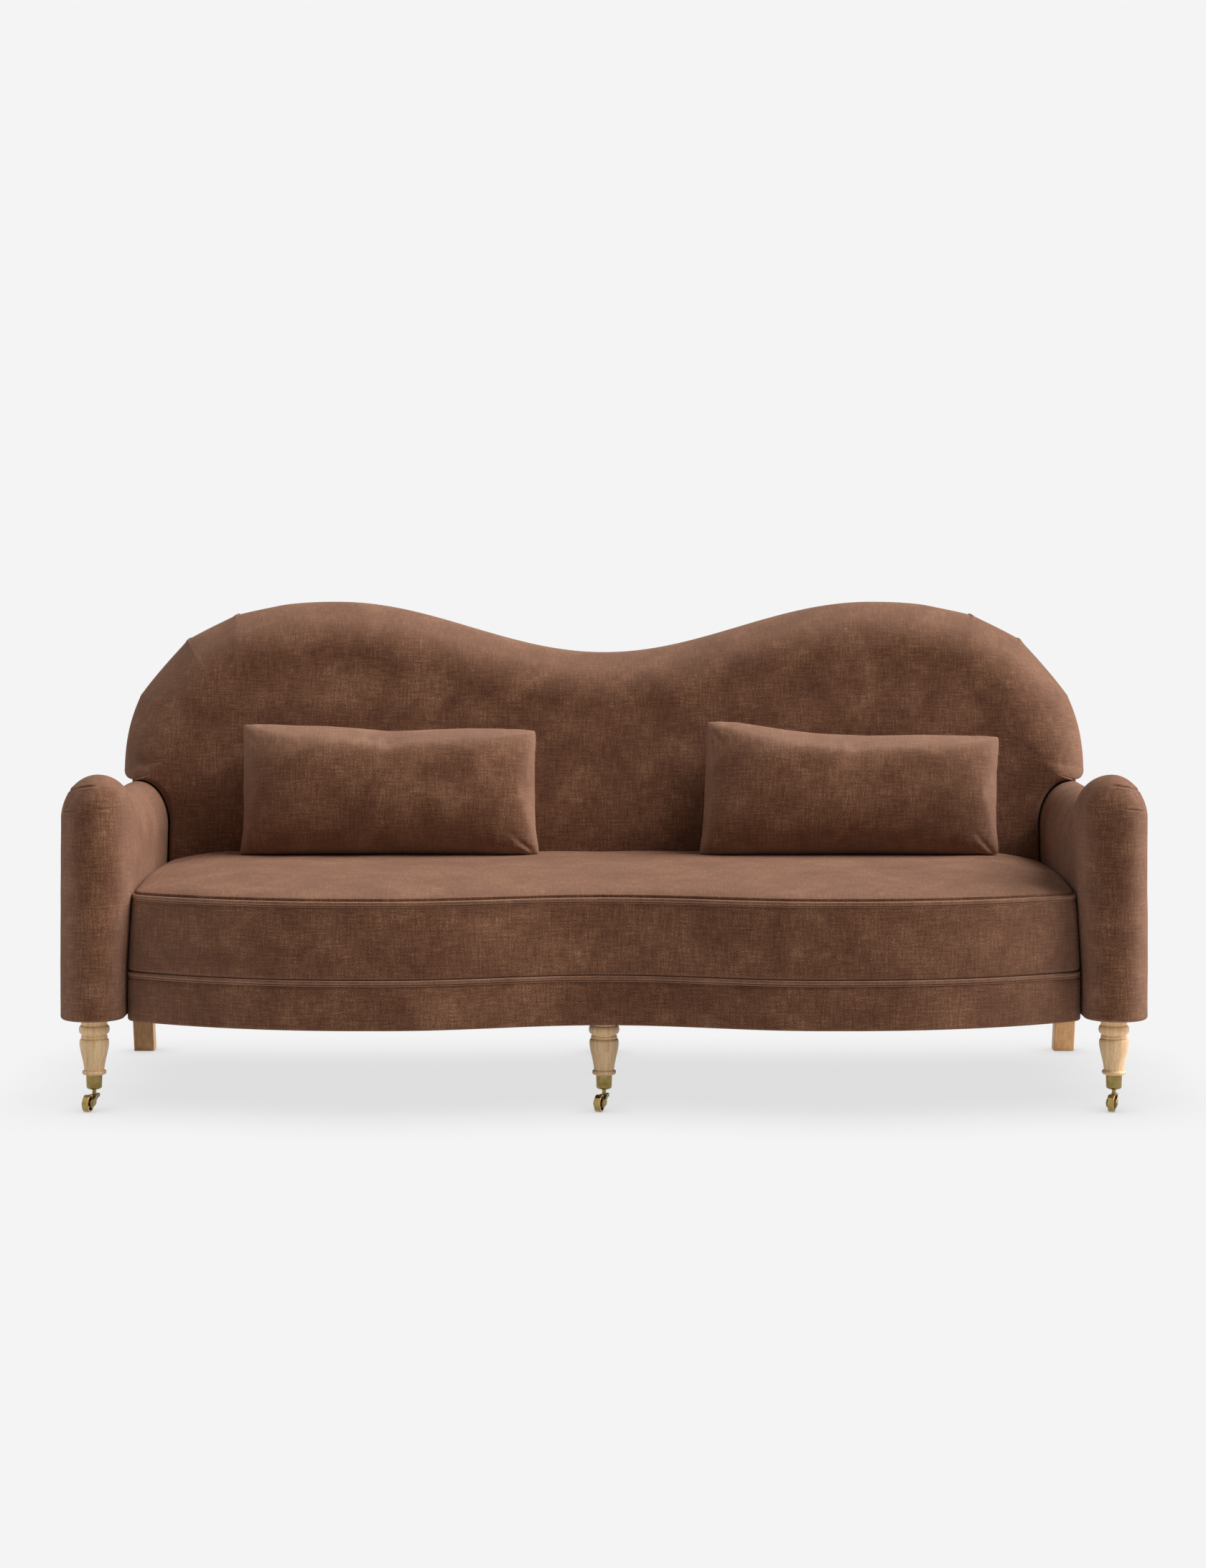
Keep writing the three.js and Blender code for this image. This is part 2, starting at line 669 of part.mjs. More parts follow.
// A ring of the back: each point of the outline moved `insetAt` towards the spine line, then a share
// of what is left, at the depth that `depthAt` gives.
function backRing(depthAt, insetAt, share) {
  return backOutline.map((p) => {
    const spineX = Math.min(backSpineHalf, Math.max(-backSpineHalf, p.x));
    const moved = Math.min(1, insetAt(p) / Math.hypot(spineX - p.x, backSpineHeight - p.z));
    const part = moved + (1 - moved) * share;
    const z = mixed(p.z, backSpineHeight, part);
    return new THREE.Vector3(mixed(p.x, spineX, part), depthAt(z, p), z);
  });
}
const roundRings = steps(0, Math.PI / 2, 3).map((angle) => {
  const depth = (z, p) => faceLine(z) + p.round * (1 - Math.sin(angle));
  return backRing(depth, (p) => p.round * (1 - Math.cos(angle)), 0);
});
const faceRings = backFaceShares.map((share) =>
  backRing((z) => faceLine(z) - backCrown * (1 - (1 - share) ** 2), (p) => p.round, share));
const backPad = loft([backRing(rearInside, () => 0, 0), ...roundRings, ...faceRings], flatXZ);

// The board inside the back stands on the back rail. The padding fills its three windows. `grow`
// makes its cutter, open to the rear.
const boardRear = outsideBackThickness + 2 * seating;
function backBoard(grow) {
  const inset = backBoardInset - grow;
  const front = boardRear + backBoardThickness + grow;
  const rear = grow > 0 ? -overrun : boardRear;
  const low = webLow - grow;
  const ring = (offset) =>
    backRing((z) => rearFace(z) - offset, () => inset, 0).map((p, i) =>
      backOutline[i].z > cushionLow ? p : new THREE.Vector3(p.x, rearFace(low) - offset, low));
  const pitch = (2 * backSpineHalf) / 3;
  const half = (pitch - backMember) / 2 - grow;
  const sill = cushionLow + backMember + grow;
  const head = backDipHeight - backBoardInset - backMember - grow;
  const windows = [-pitch, 0, pitch].map((x) =>
    block([x - half, 0, sill], [x + half, overallDepth, head]));
  return cut(loft([ring(rear), ring(front)], flatXZ), ...windows);
}
place("back_board", backBoard(0), poplar);
place("inside_back", cut(backPad, backBoard(seating)), chenille);

// The outside back closes the rear from the hem to the top, over the ends of the arms.
const outsideOutline = [
  { x: -backHalfWidth, z: underArm + seating },
  { x: backHalfWidth, z: underArm + seating },
  ...backOutline.filter((p) => p.z > backShoulderHeight),
];
const outsideRing = (offset) =>
  outsideOutline.map((p) => new THREE.Vector3(p.x, rearFace(p.z) - offset, p.z));
place("outside_back", loft([outsideRing(0), outsideRing(outsideBackThickness)], flatXZ), chenille);

// Legs. A half-round bead between two heights, standing out of a neck.
const bead = (radius, neck, low, high) =>
  steps(-Math.PI / 2, Math.PI / 2, 4).map((angle) => [
    mixed(neck, radius, Math.cos(angle)),
    mixed(low, high, (1 + Math.sin(angle)) / 2),
  ]);

function turnedLeg() {
  const shares = legHeightShares;
  const at = (share) => mixed(castorHeight, legHigh, share);
  const swell = (share) => mixed(legAnkleRadius, legVaseRadius, share);
  const spigot = cupRadius - cupWall - seating;
  return turned(
    [
      [0, castorHeight - spigotLength],
      [spigot, castorHeight - spigotLength],
      [spigot, castorHeight + seating],
      ...bead(legFootRadius, legAnkleRadius, castorHeight + seating, at(shares.foot)),
      [swell(legSwellShares.waist), at(shares.waist)],
      [swell(legSwellShares.belly), at(shares.belly)],
      [legVaseRadius, at(shares.vase)],
      [legGrooveRadius, at(shares.neck)],
      ...bead(legRingRadius, legGrooveRadius, at(shares.neck), at(shares.ring)).slice(1),
      ...bead(legBeadRadius, legGrooveRadius, at(shares.ring), at(shares.bead)).slice(1),
      [legTopRadius, at(shares.bead)],
      [legTopRadius, legHigh],
      [0, legHigh],
    ],
    turnedSides,
  );
}

function squareLeg(y) {
  const half = backLegWidth / 2 - backLegEdge;
  const deep = backLegDepth / 2 - backLegEdge;
  const shape = new THREE.Shape();
  shape.absarc(half, deep, backLegEdge, 0, Math.PI / 2, false);
  shape.absarc(-half, deep, backLegEdge, Math.PI / 2, Math.PI, false);
  shape.absarc(-half, -deep, backLegEdge, Math.PI, (3 * Math.PI) / 2, false);
  shape.absarc(half, -deep, backLegEdge, (3 * Math.PI) / 2, 2 * Math.PI, false);
  const lean = new THREE.Matrix4().makeShear(0, 0, 0, 0, 0, -backLegRake);
  return new THREE.ExtrudeGeometry(shape, { depth: legHigh, bevelEnabled: false, curveSegments: 2 })
    .applyMatrix4(lean)
    .translate(0, y + backLegRake * legHigh, 0);
}

for (const [side, x] of Object.entries(frontLegs)) {
  const leg = turnedLeg().translate(x, legLine, 0);
  place(side + "_front_leg", cut(leg, bolt(seating, x, legLine)), beech);
  place(side + "_front_bolt", bolt(0, x, legLine), steel);
}
for (const [side, [x, y]] of Object.entries(backLegs)) {
  place(side + "_back_leg", cut(squareLeg(y).translate(x, 0, 0), bolt(seating, x, y)), beech);
  place(side + "_back_bolt", bolt(0, x, y), steel);
}

// Castors: a cup on the leg's end, a yoke that swivels on its pintle, and a wheel on an axle
const cupLow = castorHeight - cupHeight;
const cupInside = cupLow + cupFloor;
const pintleRoom = pintleRadius + seating;
function cup() {
  const bowl = cupBowlShares.map(([out, up]) => [cupFootRadius * out, cupLow + cupFloor * up]);
  return turned(
    [
      [pintleRoom, cupLow],
      ...bowl,
      [cupRadius, castorHeight],
      [cupRadius - cupWall, castorHeight],
      [cupRadius - cupWall, cupInside],
      [pintleRoom, cupInside],
      [pintleRoom, cupLow],
    ],
    turnedSides,
  );
}

// The yoke and its wheel are drawn with the pintle on the Z axis and the wheel towards -Y.
const yokeTop = cupLow - pintleNeck;
const slotHalf = wheelWidth / 2 + cheekGap;
const yokeHalf = slotHalf + cheekThickness;
const onAxle = (geometry) => geometry.rotateY(Math.PI / 2).translate(0, -castorTrail, wheelRadius);

// Seen from the side a yoke is a horn: a level tail behind the pintle, and a curve down to the eye.
function hornSide() {
  const turn = radians(yokeEyeTurn);
  const under = yokeTop - yokeDepth;
  const eyeTop = [
    yokeEye * Math.cos(turn) - castorTrail,
    wheelRadius + yokeEye * Math.sin(turn),
  ];
  const shape = new THREE.Shape();
  shape.moveTo(yokeTail, under);
  shape.lineTo(yokeTail, yokeTop);
  shape.lineTo(-pintleRadius, yokeTop);
  shape.quadraticCurveTo(-castorTrail / 2, yokeTop, ...eyeTop);
  shape.absarc(-castorTrail, wheelRadius, yokeEye, turn, (3 * Math.PI) / 2, false);
  shape.quadraticCurveTo(-castorTrail / 2, wheelRadius - yokeEye, yokeBoss, under);
  return shape;
}

// Seen from above it is straight behind the pintle and widens to the two cheeks.
function hornPlan() {
  const tip = -castorTrail - yokeEye - overrun;
  const shape = new THREE.Shape();
  shape.moveTo(yokeBoss, yokeTail);
  shape.lineTo(-yokeBoss, yokeTail);
  shape.lineTo(-yokeBoss, 0);
  shape.quadraticCurveTo(-yokeHalf, -yokeBoss / 2, -yokeHalf, -castorTrail / 2);
  shape.lineTo(-yokeHalf, tip);
  shape.lineTo(yokeHalf, tip);
  shape.lineTo(yokeHalf, -castorTrail / 2);
  shape.quadraticCurveTo(yokeHalf, -yokeBoss / 2, yokeBoss, 0);
  return shape;
}

function yoke() {
  const upright = { depth: cupLow, bevelEnabled: false, curveSegments: 6 };
  const plan = new THREE.ExtrudeGeometry(hornPlan(), upright);
  const horn = common(sideways(hornSide(), 2 * yokeHalf + overrun, 0, 6), plan);
  const wheelRoom = onAxle(rod(wheelRadius + wheelClearance, -slotHalf, slotHalf, wheelSides));
  const reach = yokeHalf + overrun;
  const axleRoom = onAxle(rod(axleRadius + seating, -reach, reach, boltSides));
  const headLow = cupInside + seating;
  const pintle = turned(
    [
      [0, yokeTop - yokeDepth / 2],
      [pintleRadius, yokeTop - yokeDepth / 2],
      [pintleRadius, headLow],
      [pintleHeadRadius, headLow],
      [pintleHeadRadius, headLow + pintleHeadHeight],
      [0, headLow + pintleHeadHeight],
    ],
    turnedSides,
  );
  return join(cut(horn, wheelRoom, axleRoom), pintle);
}

function wheel() {
  const bore = axleRadius + seating;
  const half = wheelWidth / 2;
  const web = wheelWeb / 2;
  const inner = wheelRadius - wheelRim;
  const outer = [
    [bore, -half],
    [hubRadius, -half],
    [hubRadius, -web],
    [inner, -web],
    [inner, -half],
    [wheelRadius - wheelEdge, -half],
    [wheelRadius, wheelEdge - half],
  ];
  const other = outer.map(([radius, x]) => [radius, -x]).reverse();
  return onAxle(turned([...outer, ...other, outer[0]], wheelSides));
}

function axle() {
  const reach = yokeHalf + seating;
  const half = [
    [0, -reach - axleHeadHeight],
    [axleHeadRadius, -reach - axleHeadHeight],
    [axleHeadRadius, -reach],
    [axleRadius, -reach],
  ];
  const other = half.map(([radius, x]) => [radius, -x]).reverse();
  return onAxle(turned([...half, ...other], boltSides));
}

for (const [side, x] of Object.entries(frontLegs)) {
  const castor = new THREE.Group();
  castor.position.set(x, legLine, 0);
  sofa.add(castor);
  const swivel = new THREE.Group();
  swivel.rotation.z = -radians(castorTurns[side]);
  castor.add(swivel);
  place(side + "_castor_cup", cup(), brass, castor);
  place(side + "_castor_yoke", yoke(), brass, swivel);
  place(side + "_castor_wheel", wheel(), brass, swivel);
  place(side + "_castor_axle", axle(), brass, swivel);
}

// Pillows: two crowned faces that meet in a seam, with sides drawn in between the corners. They lean
// on the back and stand on the seat.
function pillow() {
  const { across, up } = pillowFacets;
  const spread = (i, count) => Math.sin(((2 * i) / count - 1) * (Math.PI / 2));
  const lean = -radians(pillowLean);
  const points = [];
  const numbers = new Map();
  const vertex = (i, j, side) => {
    const onSeam = i === 0 || j === 0 || i === across || j === up;
    const key = [i, j, onSeam ? 0 : side].join();
    if (numbers.has(key)) return numbers.get(key);
    const u = spread(i, across);
    const v = spread(j, up);
    const swell = onSeam ? 0 : ((1 - u * u) * (1 - v * v)) ** pillowFullness;
    const x = u * (pillowWidth / 2 - pillowDrawIn * (1 - v * v));
    const z = v * (pillowHeight / 2 - pillowDrawIn * (1 - u * u));
    points.push(new THREE.Vector3(x, (side * pillowThickness * swell) / 2, z).applyAxisAngle(axisX, lean));
    numbers.set(key, points.length - 1);
    return points.length - 1;
  };
  const index = [];
  for (const side of [-1, 1])
    for (let i = 0; i < across; i++)
      for (let j = 0; j < up; j++) {
        const cell = [[i, j], [i + 1, j], [i + 1, j + 1], [i, j + 1]];
        const corners = cell.map(([a, b]) => vertex(a, b, side));
        const [a, b, c, d] = side < 0 ? corners : corners.reverse();
        index.push(a, b, c, a, c, d);
      }
  const raise = seatTop + seating - Math.min(...points.map((p) => p.z));
  const push = Math.min(...points.map((p) => faceLine(p.z + raise) - backCrown - seating - p.y));
  const geometry = new THREE.BufferGeometry().setFromPoints(points);
  geometry.setIndex(index);
  geometry.computeVertexNormals();
  return geometry.translate(0, push, raise);
}
const axisX = new THREE.Vector3(1, 0, 0);
for (const [side, x] of Object.entries(pillowPlaces))
  place(side + "_pillow", pillow().translate(x, 0, 0), chenille);

export default sofa;
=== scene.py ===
import math
import bmesh
import bpy
import numpy as np
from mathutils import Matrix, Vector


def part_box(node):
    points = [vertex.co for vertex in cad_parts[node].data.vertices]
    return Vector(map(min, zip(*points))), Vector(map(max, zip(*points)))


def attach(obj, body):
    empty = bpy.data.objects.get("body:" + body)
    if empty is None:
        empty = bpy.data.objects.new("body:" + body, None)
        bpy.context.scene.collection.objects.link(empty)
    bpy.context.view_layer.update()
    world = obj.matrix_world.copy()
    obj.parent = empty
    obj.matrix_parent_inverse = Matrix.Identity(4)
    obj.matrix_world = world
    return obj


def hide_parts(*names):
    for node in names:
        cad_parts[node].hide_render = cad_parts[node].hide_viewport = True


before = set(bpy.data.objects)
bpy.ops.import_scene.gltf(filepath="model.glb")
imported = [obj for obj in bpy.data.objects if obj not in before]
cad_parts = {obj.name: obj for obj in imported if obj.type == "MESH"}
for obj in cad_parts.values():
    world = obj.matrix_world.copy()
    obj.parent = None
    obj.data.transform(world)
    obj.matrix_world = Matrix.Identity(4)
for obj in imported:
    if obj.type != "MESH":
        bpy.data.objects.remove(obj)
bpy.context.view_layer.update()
print("frame loaded with", len(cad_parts), "nodes")


# An sRGB colour written in hex, turned to linear light.
def hexColour(code, alpha=1.0):
    parts = [int(code[i:i + 2], 16) / 255 for i in (1, 3, 5)]
    return tuple(c / 12.92 if c <= 0.04045 else ((c + 0.055) / 1.055) ** 2.4 for c in parts) + (alpha,)


# Straight mix of a and b.
def mixed(a, b, share):
    return a + (b - a) * share


# Goes from 0 to 1 with level ends, as 3t^2 - 2t^3.
def eased(value):
    t = np.clip(value, 0, 1)
    return t * t * (3 - 2 * t)


# Quarter of a superellipse, 1 at 0 and 0 at 1: the power of one minus the power.
def rolled(value, power):
    return (1 - np.clip(value, 0, 1) ** power) ** (1 / power)


# Bell curve of a distance, 1 at nought and nearly 0 at two widths.
def bell(distance, width):
    return np.exp(-(distance / width) ** 2)


# Slow uneven swell of a cloth, between about -1 and 1: a sum of sine waves in many directions, whose
# lengths run from `size` down to a third of it.
def swell(points, size, seed):
    draw = np.random.default_rng(seed)
    total = np.zeros(points.shape[:-1])
    for k in range(9):
        way = draw.normal(size=3)
        way /= np.linalg.norm(way)
        length = size / (1 + 2 * k / 8)
        phase = draw.uniform(0, 2 * math.pi)
        total += np.sin(points @ way * (2 * math.pi / length) + phase) * (length / size)
    return total / 3


# Distance along a row of points, in metres, from 0 at the first.
def along(points):
    gaps = np.linalg.norm(np.diff(points, axis=0), axis=1)
    return np.concatenate([[0], np.cumsum(gaps)])


# Puts arrays side by side on a last axis, such as x, y and z into points.
def stacked(*parts):
    return np.stack(np.broadcast_arrays(*parts), axis=-1)


# Repeats a grid's first column after its last.
def ringed(grid):
    return np.concatenate([grid, grid[:, :1]], axis=1)


# Closes a tube of rings with the middle of its first ring and of its last.
def capped(rings):
    middle = np.broadcast_to(rings.mean(axis=1, keepdims=True), rings.shape)
    return np.concatenate([middle[:1], rings, middle[-1:]])


# A curve from a to c that leaves and arrives towards b: the squares of the two shares times a and c,
# and twice their product times b.
def bent(a, b, c, t):
    return (1 - t) ** 2 * a + 2 * t * (1 - t) * b + t ** 2 * c


# A section with rounded corners, from -1 to 1 each way: powers of the cosine and sine of the turn.
def oblong(turn, powerAcross, powerUp):
    waves = ((np.cos(turn), powerAcross), (np.sin(turn), powerUp))
    return [np.sign(wave) * np.abs(wave) ** power for wave, power in waves]


# A smooth curve through rows of knots. Each stretch is a cubic whose slope at a knot is that of the
# line between the knots before and after it.
def smoothThrough(knots, count):
    knots = np.array(knots, float)
    held = np.concatenate([[2 * knots[0] - knots[1]], knots, [2 * knots[-1] - knots[-2]]])
    t = np.linspace(0, len(knots) - 1, count)
    k = np.minimum(t.astype(int), len(knots) - 2)
    f = (t - k)[:, None]
    a, b, c, d = held[k], held[k + 1], held[k + 2], held[k + 3]
    return (2 * b + (c - a) * f + (2 * a - 5 * b + 4 * c - d) * f ** 2 + (3 * b - a - 3 * c + d) * f ** 3) / 2


# Puts a point `edge` before and after each corner of a profile, so that its edges stay crisp.
def crisp(profile, edge=0.00015):
    rows = np.array(profile, float)
    size = np.linalg.norm(np.diff(rows, axis=0), axis=1, keepdims=True)
    step = np.diff(rows, axis=0) / size * np.minimum(edge, size / 3)
    between = np.stack([rows[:-1], rows[:-1] + step, rows[1:] - step], axis=1).reshape(-1, rows.shape[1])
    return np.concatenate([between, rows[-1:]])


# Half a round bead as rows of [radius, height]: the radius swells from the neck as a cosine while the
# height goes from low to high as a sine.
def halfRound(neck, radius, low, high, count=13):
    angle = np.linspace(-math.pi / 2, math.pi / 2, count)
    return stacked(mixed(neck, radius, np.cos(angle)), mixed(low, high, (1 + np.sin(angle)) / 2))


# A profile of [radius, height] turned about the upright axis: the cosine and sine of the turn times
# the radius.
def turnedPoints(profile, sides):
    radius, height = np.array(profile).T[:, :, None]
    turn = np.linspace(0, 2 * math.pi, sides, endpoint=False)[None, :]
    return stacked(radius * np.cos(turn), radius * np.sin(turn), height)


# The numbers of the four corners of each cell in a grid of this many rows and columns.
def cellCorners(rows, columns, ring=False):
    index = np.arange(rows * columns).reshape(rows, columns)
    if ring:
        index = ringed(index)
    corners = [index[:-1, :-1], index[:-1, 1:], index[1:, 1:], index[1:, :-1]]
    return stacked(*corners).reshape(-1, 4)


# Puts a grid of points into a mesh, row by row. `ring` joins the last column to the first. `cloth`
# gives each point's place on the flat cloth, in metres, with one more column where the grid is a ring.
def gridMesh(name, points, cloth=None, ring=False):
    mesh = bpy.data.meshes.new(name)
    faces = cellCorners(*points.shape[:2], ring)
    mesh.from_pydata(points.reshape(-1, 3).tolist(), [], faces.tolist())
    if cloth is not None:
        places = cloth.reshape(-1, 2)[cellCorners(*cloth.shape[:2]).ravel()]
        layer = mesh.uv_layers.new(name="cloth")
        layer.data.foreach_set("uv", places.astype(np.float32).ravel())
    return mesh


# Puts a new object with its data into the scene.
def placed(name, data):
    thing = bpy.data.objects.new(name, data)
    bpy.context.scene.collection.objects.link(thing)
    return thing


# Welds doubled points, drops faces with no area, turns the faces out and smooths them.
def pieceFrom(name, meshes, weldGap=0.00002):
    made = bmesh.new()
    for mesh in meshes:
        made.from_mesh(mesh)
    bmesh.ops.remove_doubles(made, verts=made.verts, dist=weldGap)
    bmesh.ops.dissolve_degenerate(made, edges=made.edges, dist=0.000001)
    bmesh.ops.recalc_face_normals(made, faces=made.faces)
    mesh = meshes[0]
    made.to_mesh(mesh)
    made.free()
    mesh.polygons.foreach_set("use_smooth", np.ones(len(mesh.polygons), bool))
    return placed(name, mesh)


# Reads three numbers for each item of a mesh, such as the places of its vertices.
def rowsOf(items, key="co"):
    values = np.zeros(len(items) * 3, np.float32)
    items.foreach_get(key, values)
    return values.reshape(-1, 3).astype(float)


# Moves a mesh's vertices to new places.
def setPoints(mesh, points):
    mesh.vertices.foreach_set("co", points.astype(np.float32).ravel())
    mesh.update()


# Moves each point out along its normal by the amount that `amountAt` gives for it.
def pushOut(piece, amountAt):
    mesh = piece.data
    points, normals = rowsOf(mesh.vertices), rowsOf(mesh.vertex_normals, "vector")
    setPoints(mesh, points + normals * amountAt(points)[:, None])


# Gives a piece its material and body, and hides the nodes that it stands for. The slot is not used.
def dress(piece, material, body, slot, *nodes):
    piece.data.materials.clear()
    piece.data.materials.append(material)
    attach(piece, body)
    if nodes:
        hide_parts(*nodes)
    return piece


# Gives a material or a world an empty tree of nodes.
def emptyTree(owner):
    owner.use_nodes = True
    owner.node_tree.nodes.clear()
    return owner.node_tree


# Adds a node with its settings and links. The inputs are a list in their order or a dictionary, of
# values, outputs, or nodes that stand for their first output. `stops` are a ramp's places and colours.
def addNode(tree, kind, inputs=(), stops=(), **settings):
    node = tree.nodes.new("ShaderNode" + kind)
    for key, value in settings.items():
        setattr(node, key, value)
    for key, value in inputs.items() if isinstance(inputs, dict) else enumerate(inputs):
        if isinstance(value, bpy.types.Node):
            value = value.outputs[0]
        if isinstance(value, bpy.types.NodeSocket):
            tree.links.new(value, node.inputs[key])
        else:
            node.inputs[key].default_value = value
    while stops and len(node.color_ramp.elements) < len(stops):
        node.color_ramp.elements.new(0.5)
    for number, (place, code) in enumerate(stops):
        element = node.color_ramp.elements[number]
        element.position, element.color = place, hexColour(code)
    return node


chenilleLook = {
    "tones": ((0.50, "#43281d"), (0.63, "#583626"), (0.76, "#734d37"), (0.92, "#9e755b")),
    "threadSpacing": 0.0026,  # a real 1.2 mm thread, drawn coarser so that it shows
    "slubLength": 0.036,
    "slubWidth": 0.0042,
    "cloudSize": 0.09,
    # What the threads, the slubs and the clouds each add to the tone.
    "threadShare": 0.62,
    "slubShare": 0.5,
    "cloudShare": 0.33,
    "paintedSheen": "#b38d78",  # painted sheen: a pale colour mixed in where the cloth turns away from the eye, as the pile's tips show there
    "paintedSheenShare": 0.24,
    "strongerPaintedSheen": 0.40,  # the pillows' covers and the welts get more painted sheen
    "palerLift": 0.035,  # and a paler tone, which on the welts is a painted highlight
    "paintedSheenTurn": 0.33,  # how far the cloth has turned, of 1 for edge on, where the painted sheen is at its palest
    "paintedSheenPower": 1.2,
    "sheen": 0.06,
    "sheenRoughness": 0.5,
    "sheenTint": "#e2b79c",
    "roughness": 0.92,
    "specular": 0.2,
    "pileHeight": 0.0006,
    "pileStrength": 0.7,
}


# Chenille: a soft tufted yarn in a plain weave. Its pile scatters light, so it has no gloss. Its colour is
# mixed towards a paler one where it turns away from the eye, a painted sheen, so it is dark where one looks
# into it, and it has clouds where it lies askew.
def chenille(name, paintedSheenShare, lift=0.0):
    look = chenilleLook
    material = bpy.data.materials.new(name)
    tree = emptyTree(material)
    place = addNode(tree, "TexCoord").outputs
    spacing, slub, width = look["threadSpacing"], look["slubLength"], look["slubWidth"]
    layers = []
    for source, sizes, detail, roughness, distortion in (
            ("Object", [look["cloudSize"]] * 3, 3.0, 0.6, 0.4),
            ("UV", (width, slub, 1), 2.0, 0.55, 0.0),
            ("UV", (slub, width, 1), 2.0, 0.55, 0.0),
            ("UV", (spacing, spacing, 1), 2.0, 0.75, 0.0)):
        scaled = addNode(tree, "Mapping", {
            "Vector": place[source], "Scale": tuple(1 / size for size in sizes)})
        layers.append(addNode(tree, "TexNoise", {
            "Vector": scaled, "Scale": 1.0, "Detail": detail, "Roughness": roughness,
            "Distortion": distortion}))
    clouds, warp, weft, grain = layers
    halves = [addNode(tree, "Math", [slubs, 0.5], operation="MULTIPLY") for slubs in (warp, weft)]
    streaks = addNode(tree, "Math", halves, operation="ADD")
    tone = lift
    for layer, share in ((grain, "threadShare"), (streaks, "slubShare"), (clouds, "cloudShare")):
        tone = addNode(tree, "Math", [layer, look[share], tone], operation="MULTIPLY_ADD")
    colour = addNode(tree, "ValToRGB", [tone], look["tones"])
    # The painted sheen grows with a power of the turn away from the eye, up to its full share.
    paintedSheen = addNode(tree, "LayerWeight", {"Blend": 0.5}).outputs["Facing"]
    for operation, amount in (("DIVIDE", look["paintedSheenTurn"]), ("MINIMUM", 1.0),
                              ("POWER", look["paintedSheenPower"]), ("MULTIPLY", paintedSheenShare)):
        paintedSheen = addNode(tree, "Math", [paintedSheen, amount], operation=operation)
    shown = addNode(tree, "Mix", {0: paintedSheen, 6: colour, 7: hexColour(look["paintedSheen"])}, data_type="RGBA")
    height = addNode(tree, "Math", [streaks, look["slubShare"], grain], operation="MULTIPLY_ADD")
    bump = addNode(tree, "Bump", {
        "Height": height, "Strength": look["pileStrength"], "Distance": look["pileHeight"]})
    shader = addNode(tree, "BsdfPrincipled", {
        "Base Color": shown.outputs[2], "Normal": bump, "Roughness": look["roughness"],
        "Specular IOR Level": look["specular"], "Sheen Weight": look["sheen"],
        "Sheen Roughness": look["sheenRoughness"], "Sheen Tint": hexColour(look["sheenTint"])})
    addNode(tree, "OutputMaterial", [shader])
    return material


# The tones of a wood go from its pores over its flecks to its palest.
woodLooks = {
    "oiledBeech": {"tones": ("#d9ab74", "#edc592", "#f6d9b0"), "grainWidth": 0.0011,
                   "grainLength": 0.12, "roughness": 0.40, "bump": 0.00006},
    # The back legs' beech is browner, and darker than the front legs' as painted shade for the sofa's shadow
    # over them.
    "shadedBrownBeech": {"tones": ("#c48d56", "#dda870", "#ecbf8c"), "grainWidth": 0.0012,
                  "grainLength": 0.14, "roughness": 0.45, "bump": 0.00006},
    "sawnPoplar": {"tones": ("#a98556", "#bb9a68", "#d3b483"), "grainWidth": 0.004,
                   "grainLength": 0.09, "roughness": 0.72, "bump": 0.0004},
}


# Wood: fine pores and rays drawn out along the upright grain, over slow bands of early and late wood.
def wood(name):
    look = woodLooks[name]
    material = bpy.data.materials.new(name)
    tree = emptyTree(material)
    solid = addNode(tree, "TexCoord").outputs["Object"]
    layers = []
    for times, detail, distortion in ((5, 2.0, 0.3), (1, 4.0, 0.0)):
        sizes = (look["grainWidth"], look["grainWidth"], look["grainLength"])
        scaled = addNode(tree, "Mapping", {
            "Vector": solid, "Scale": tuple(1 / (size * times) for size in sizes)})
        layers.append(addNode(tree, "TexNoise", {
            "Vector": scaled, "Scale": 1.0, "Detail": detail, "Distortion": distortion}))
    bands, pores = layers
    half = addNode(tree, "Math", [pores, 0.5], operation="MULTIPLY")
    tone = addNode(tree, "Math", [bands, 0.6, half], operation="MULTIPLY_ADD")
    colour = addNode(tree, "ValToRGB", [tone], list(zip((0.34, 0.54, 0.74), look["tones"])))
    bump = addNode(tree, "Bump", {"Height": pores, "Strength": 0.5, "Distance": look["bump"]})
    rough = addNode(tree, "MapRange", {
        "Value": pores, "To Min": look["roughness"] + 0.08, "To Max": look["roughness"] - 0.05})
    shader = addNode(tree, "BsdfPrincipled", {"Base Color": colour, "Normal": bump, "Roughness": rough})
    addNode(tree, "OutputMaterial", [shader])
    return material


# The tones of a metal go from its dullest patches to its brightest.
metalLooks = {
    "antiqueBrass": {"tones": ("#7a683c", "#8e7a48", "#a08b57"), "mottle": 0.016, "scratch": 0.0007,
                     "roughness": 0.27},
    "rubbedBrass": {"tones": ("#8a7342", "#a08952", "#b59c64"), "mottle": 0.014, "scratch": 0.0006,
                    "roughness": 0.15},
    "copperyBrass": {"tones": ("#b08560", "#c49a72", "#d3ab84"), "mottle": 0.012, "scratch": 0.0006,
                     "roughness": 0.24},
    "zincSteel": {"tones": ("#7d8084", "#9da1a5", "#c3c6c9"), "mottle": 0.004, "scratch": 0.0005,
                  "roughness": 0.36},
}


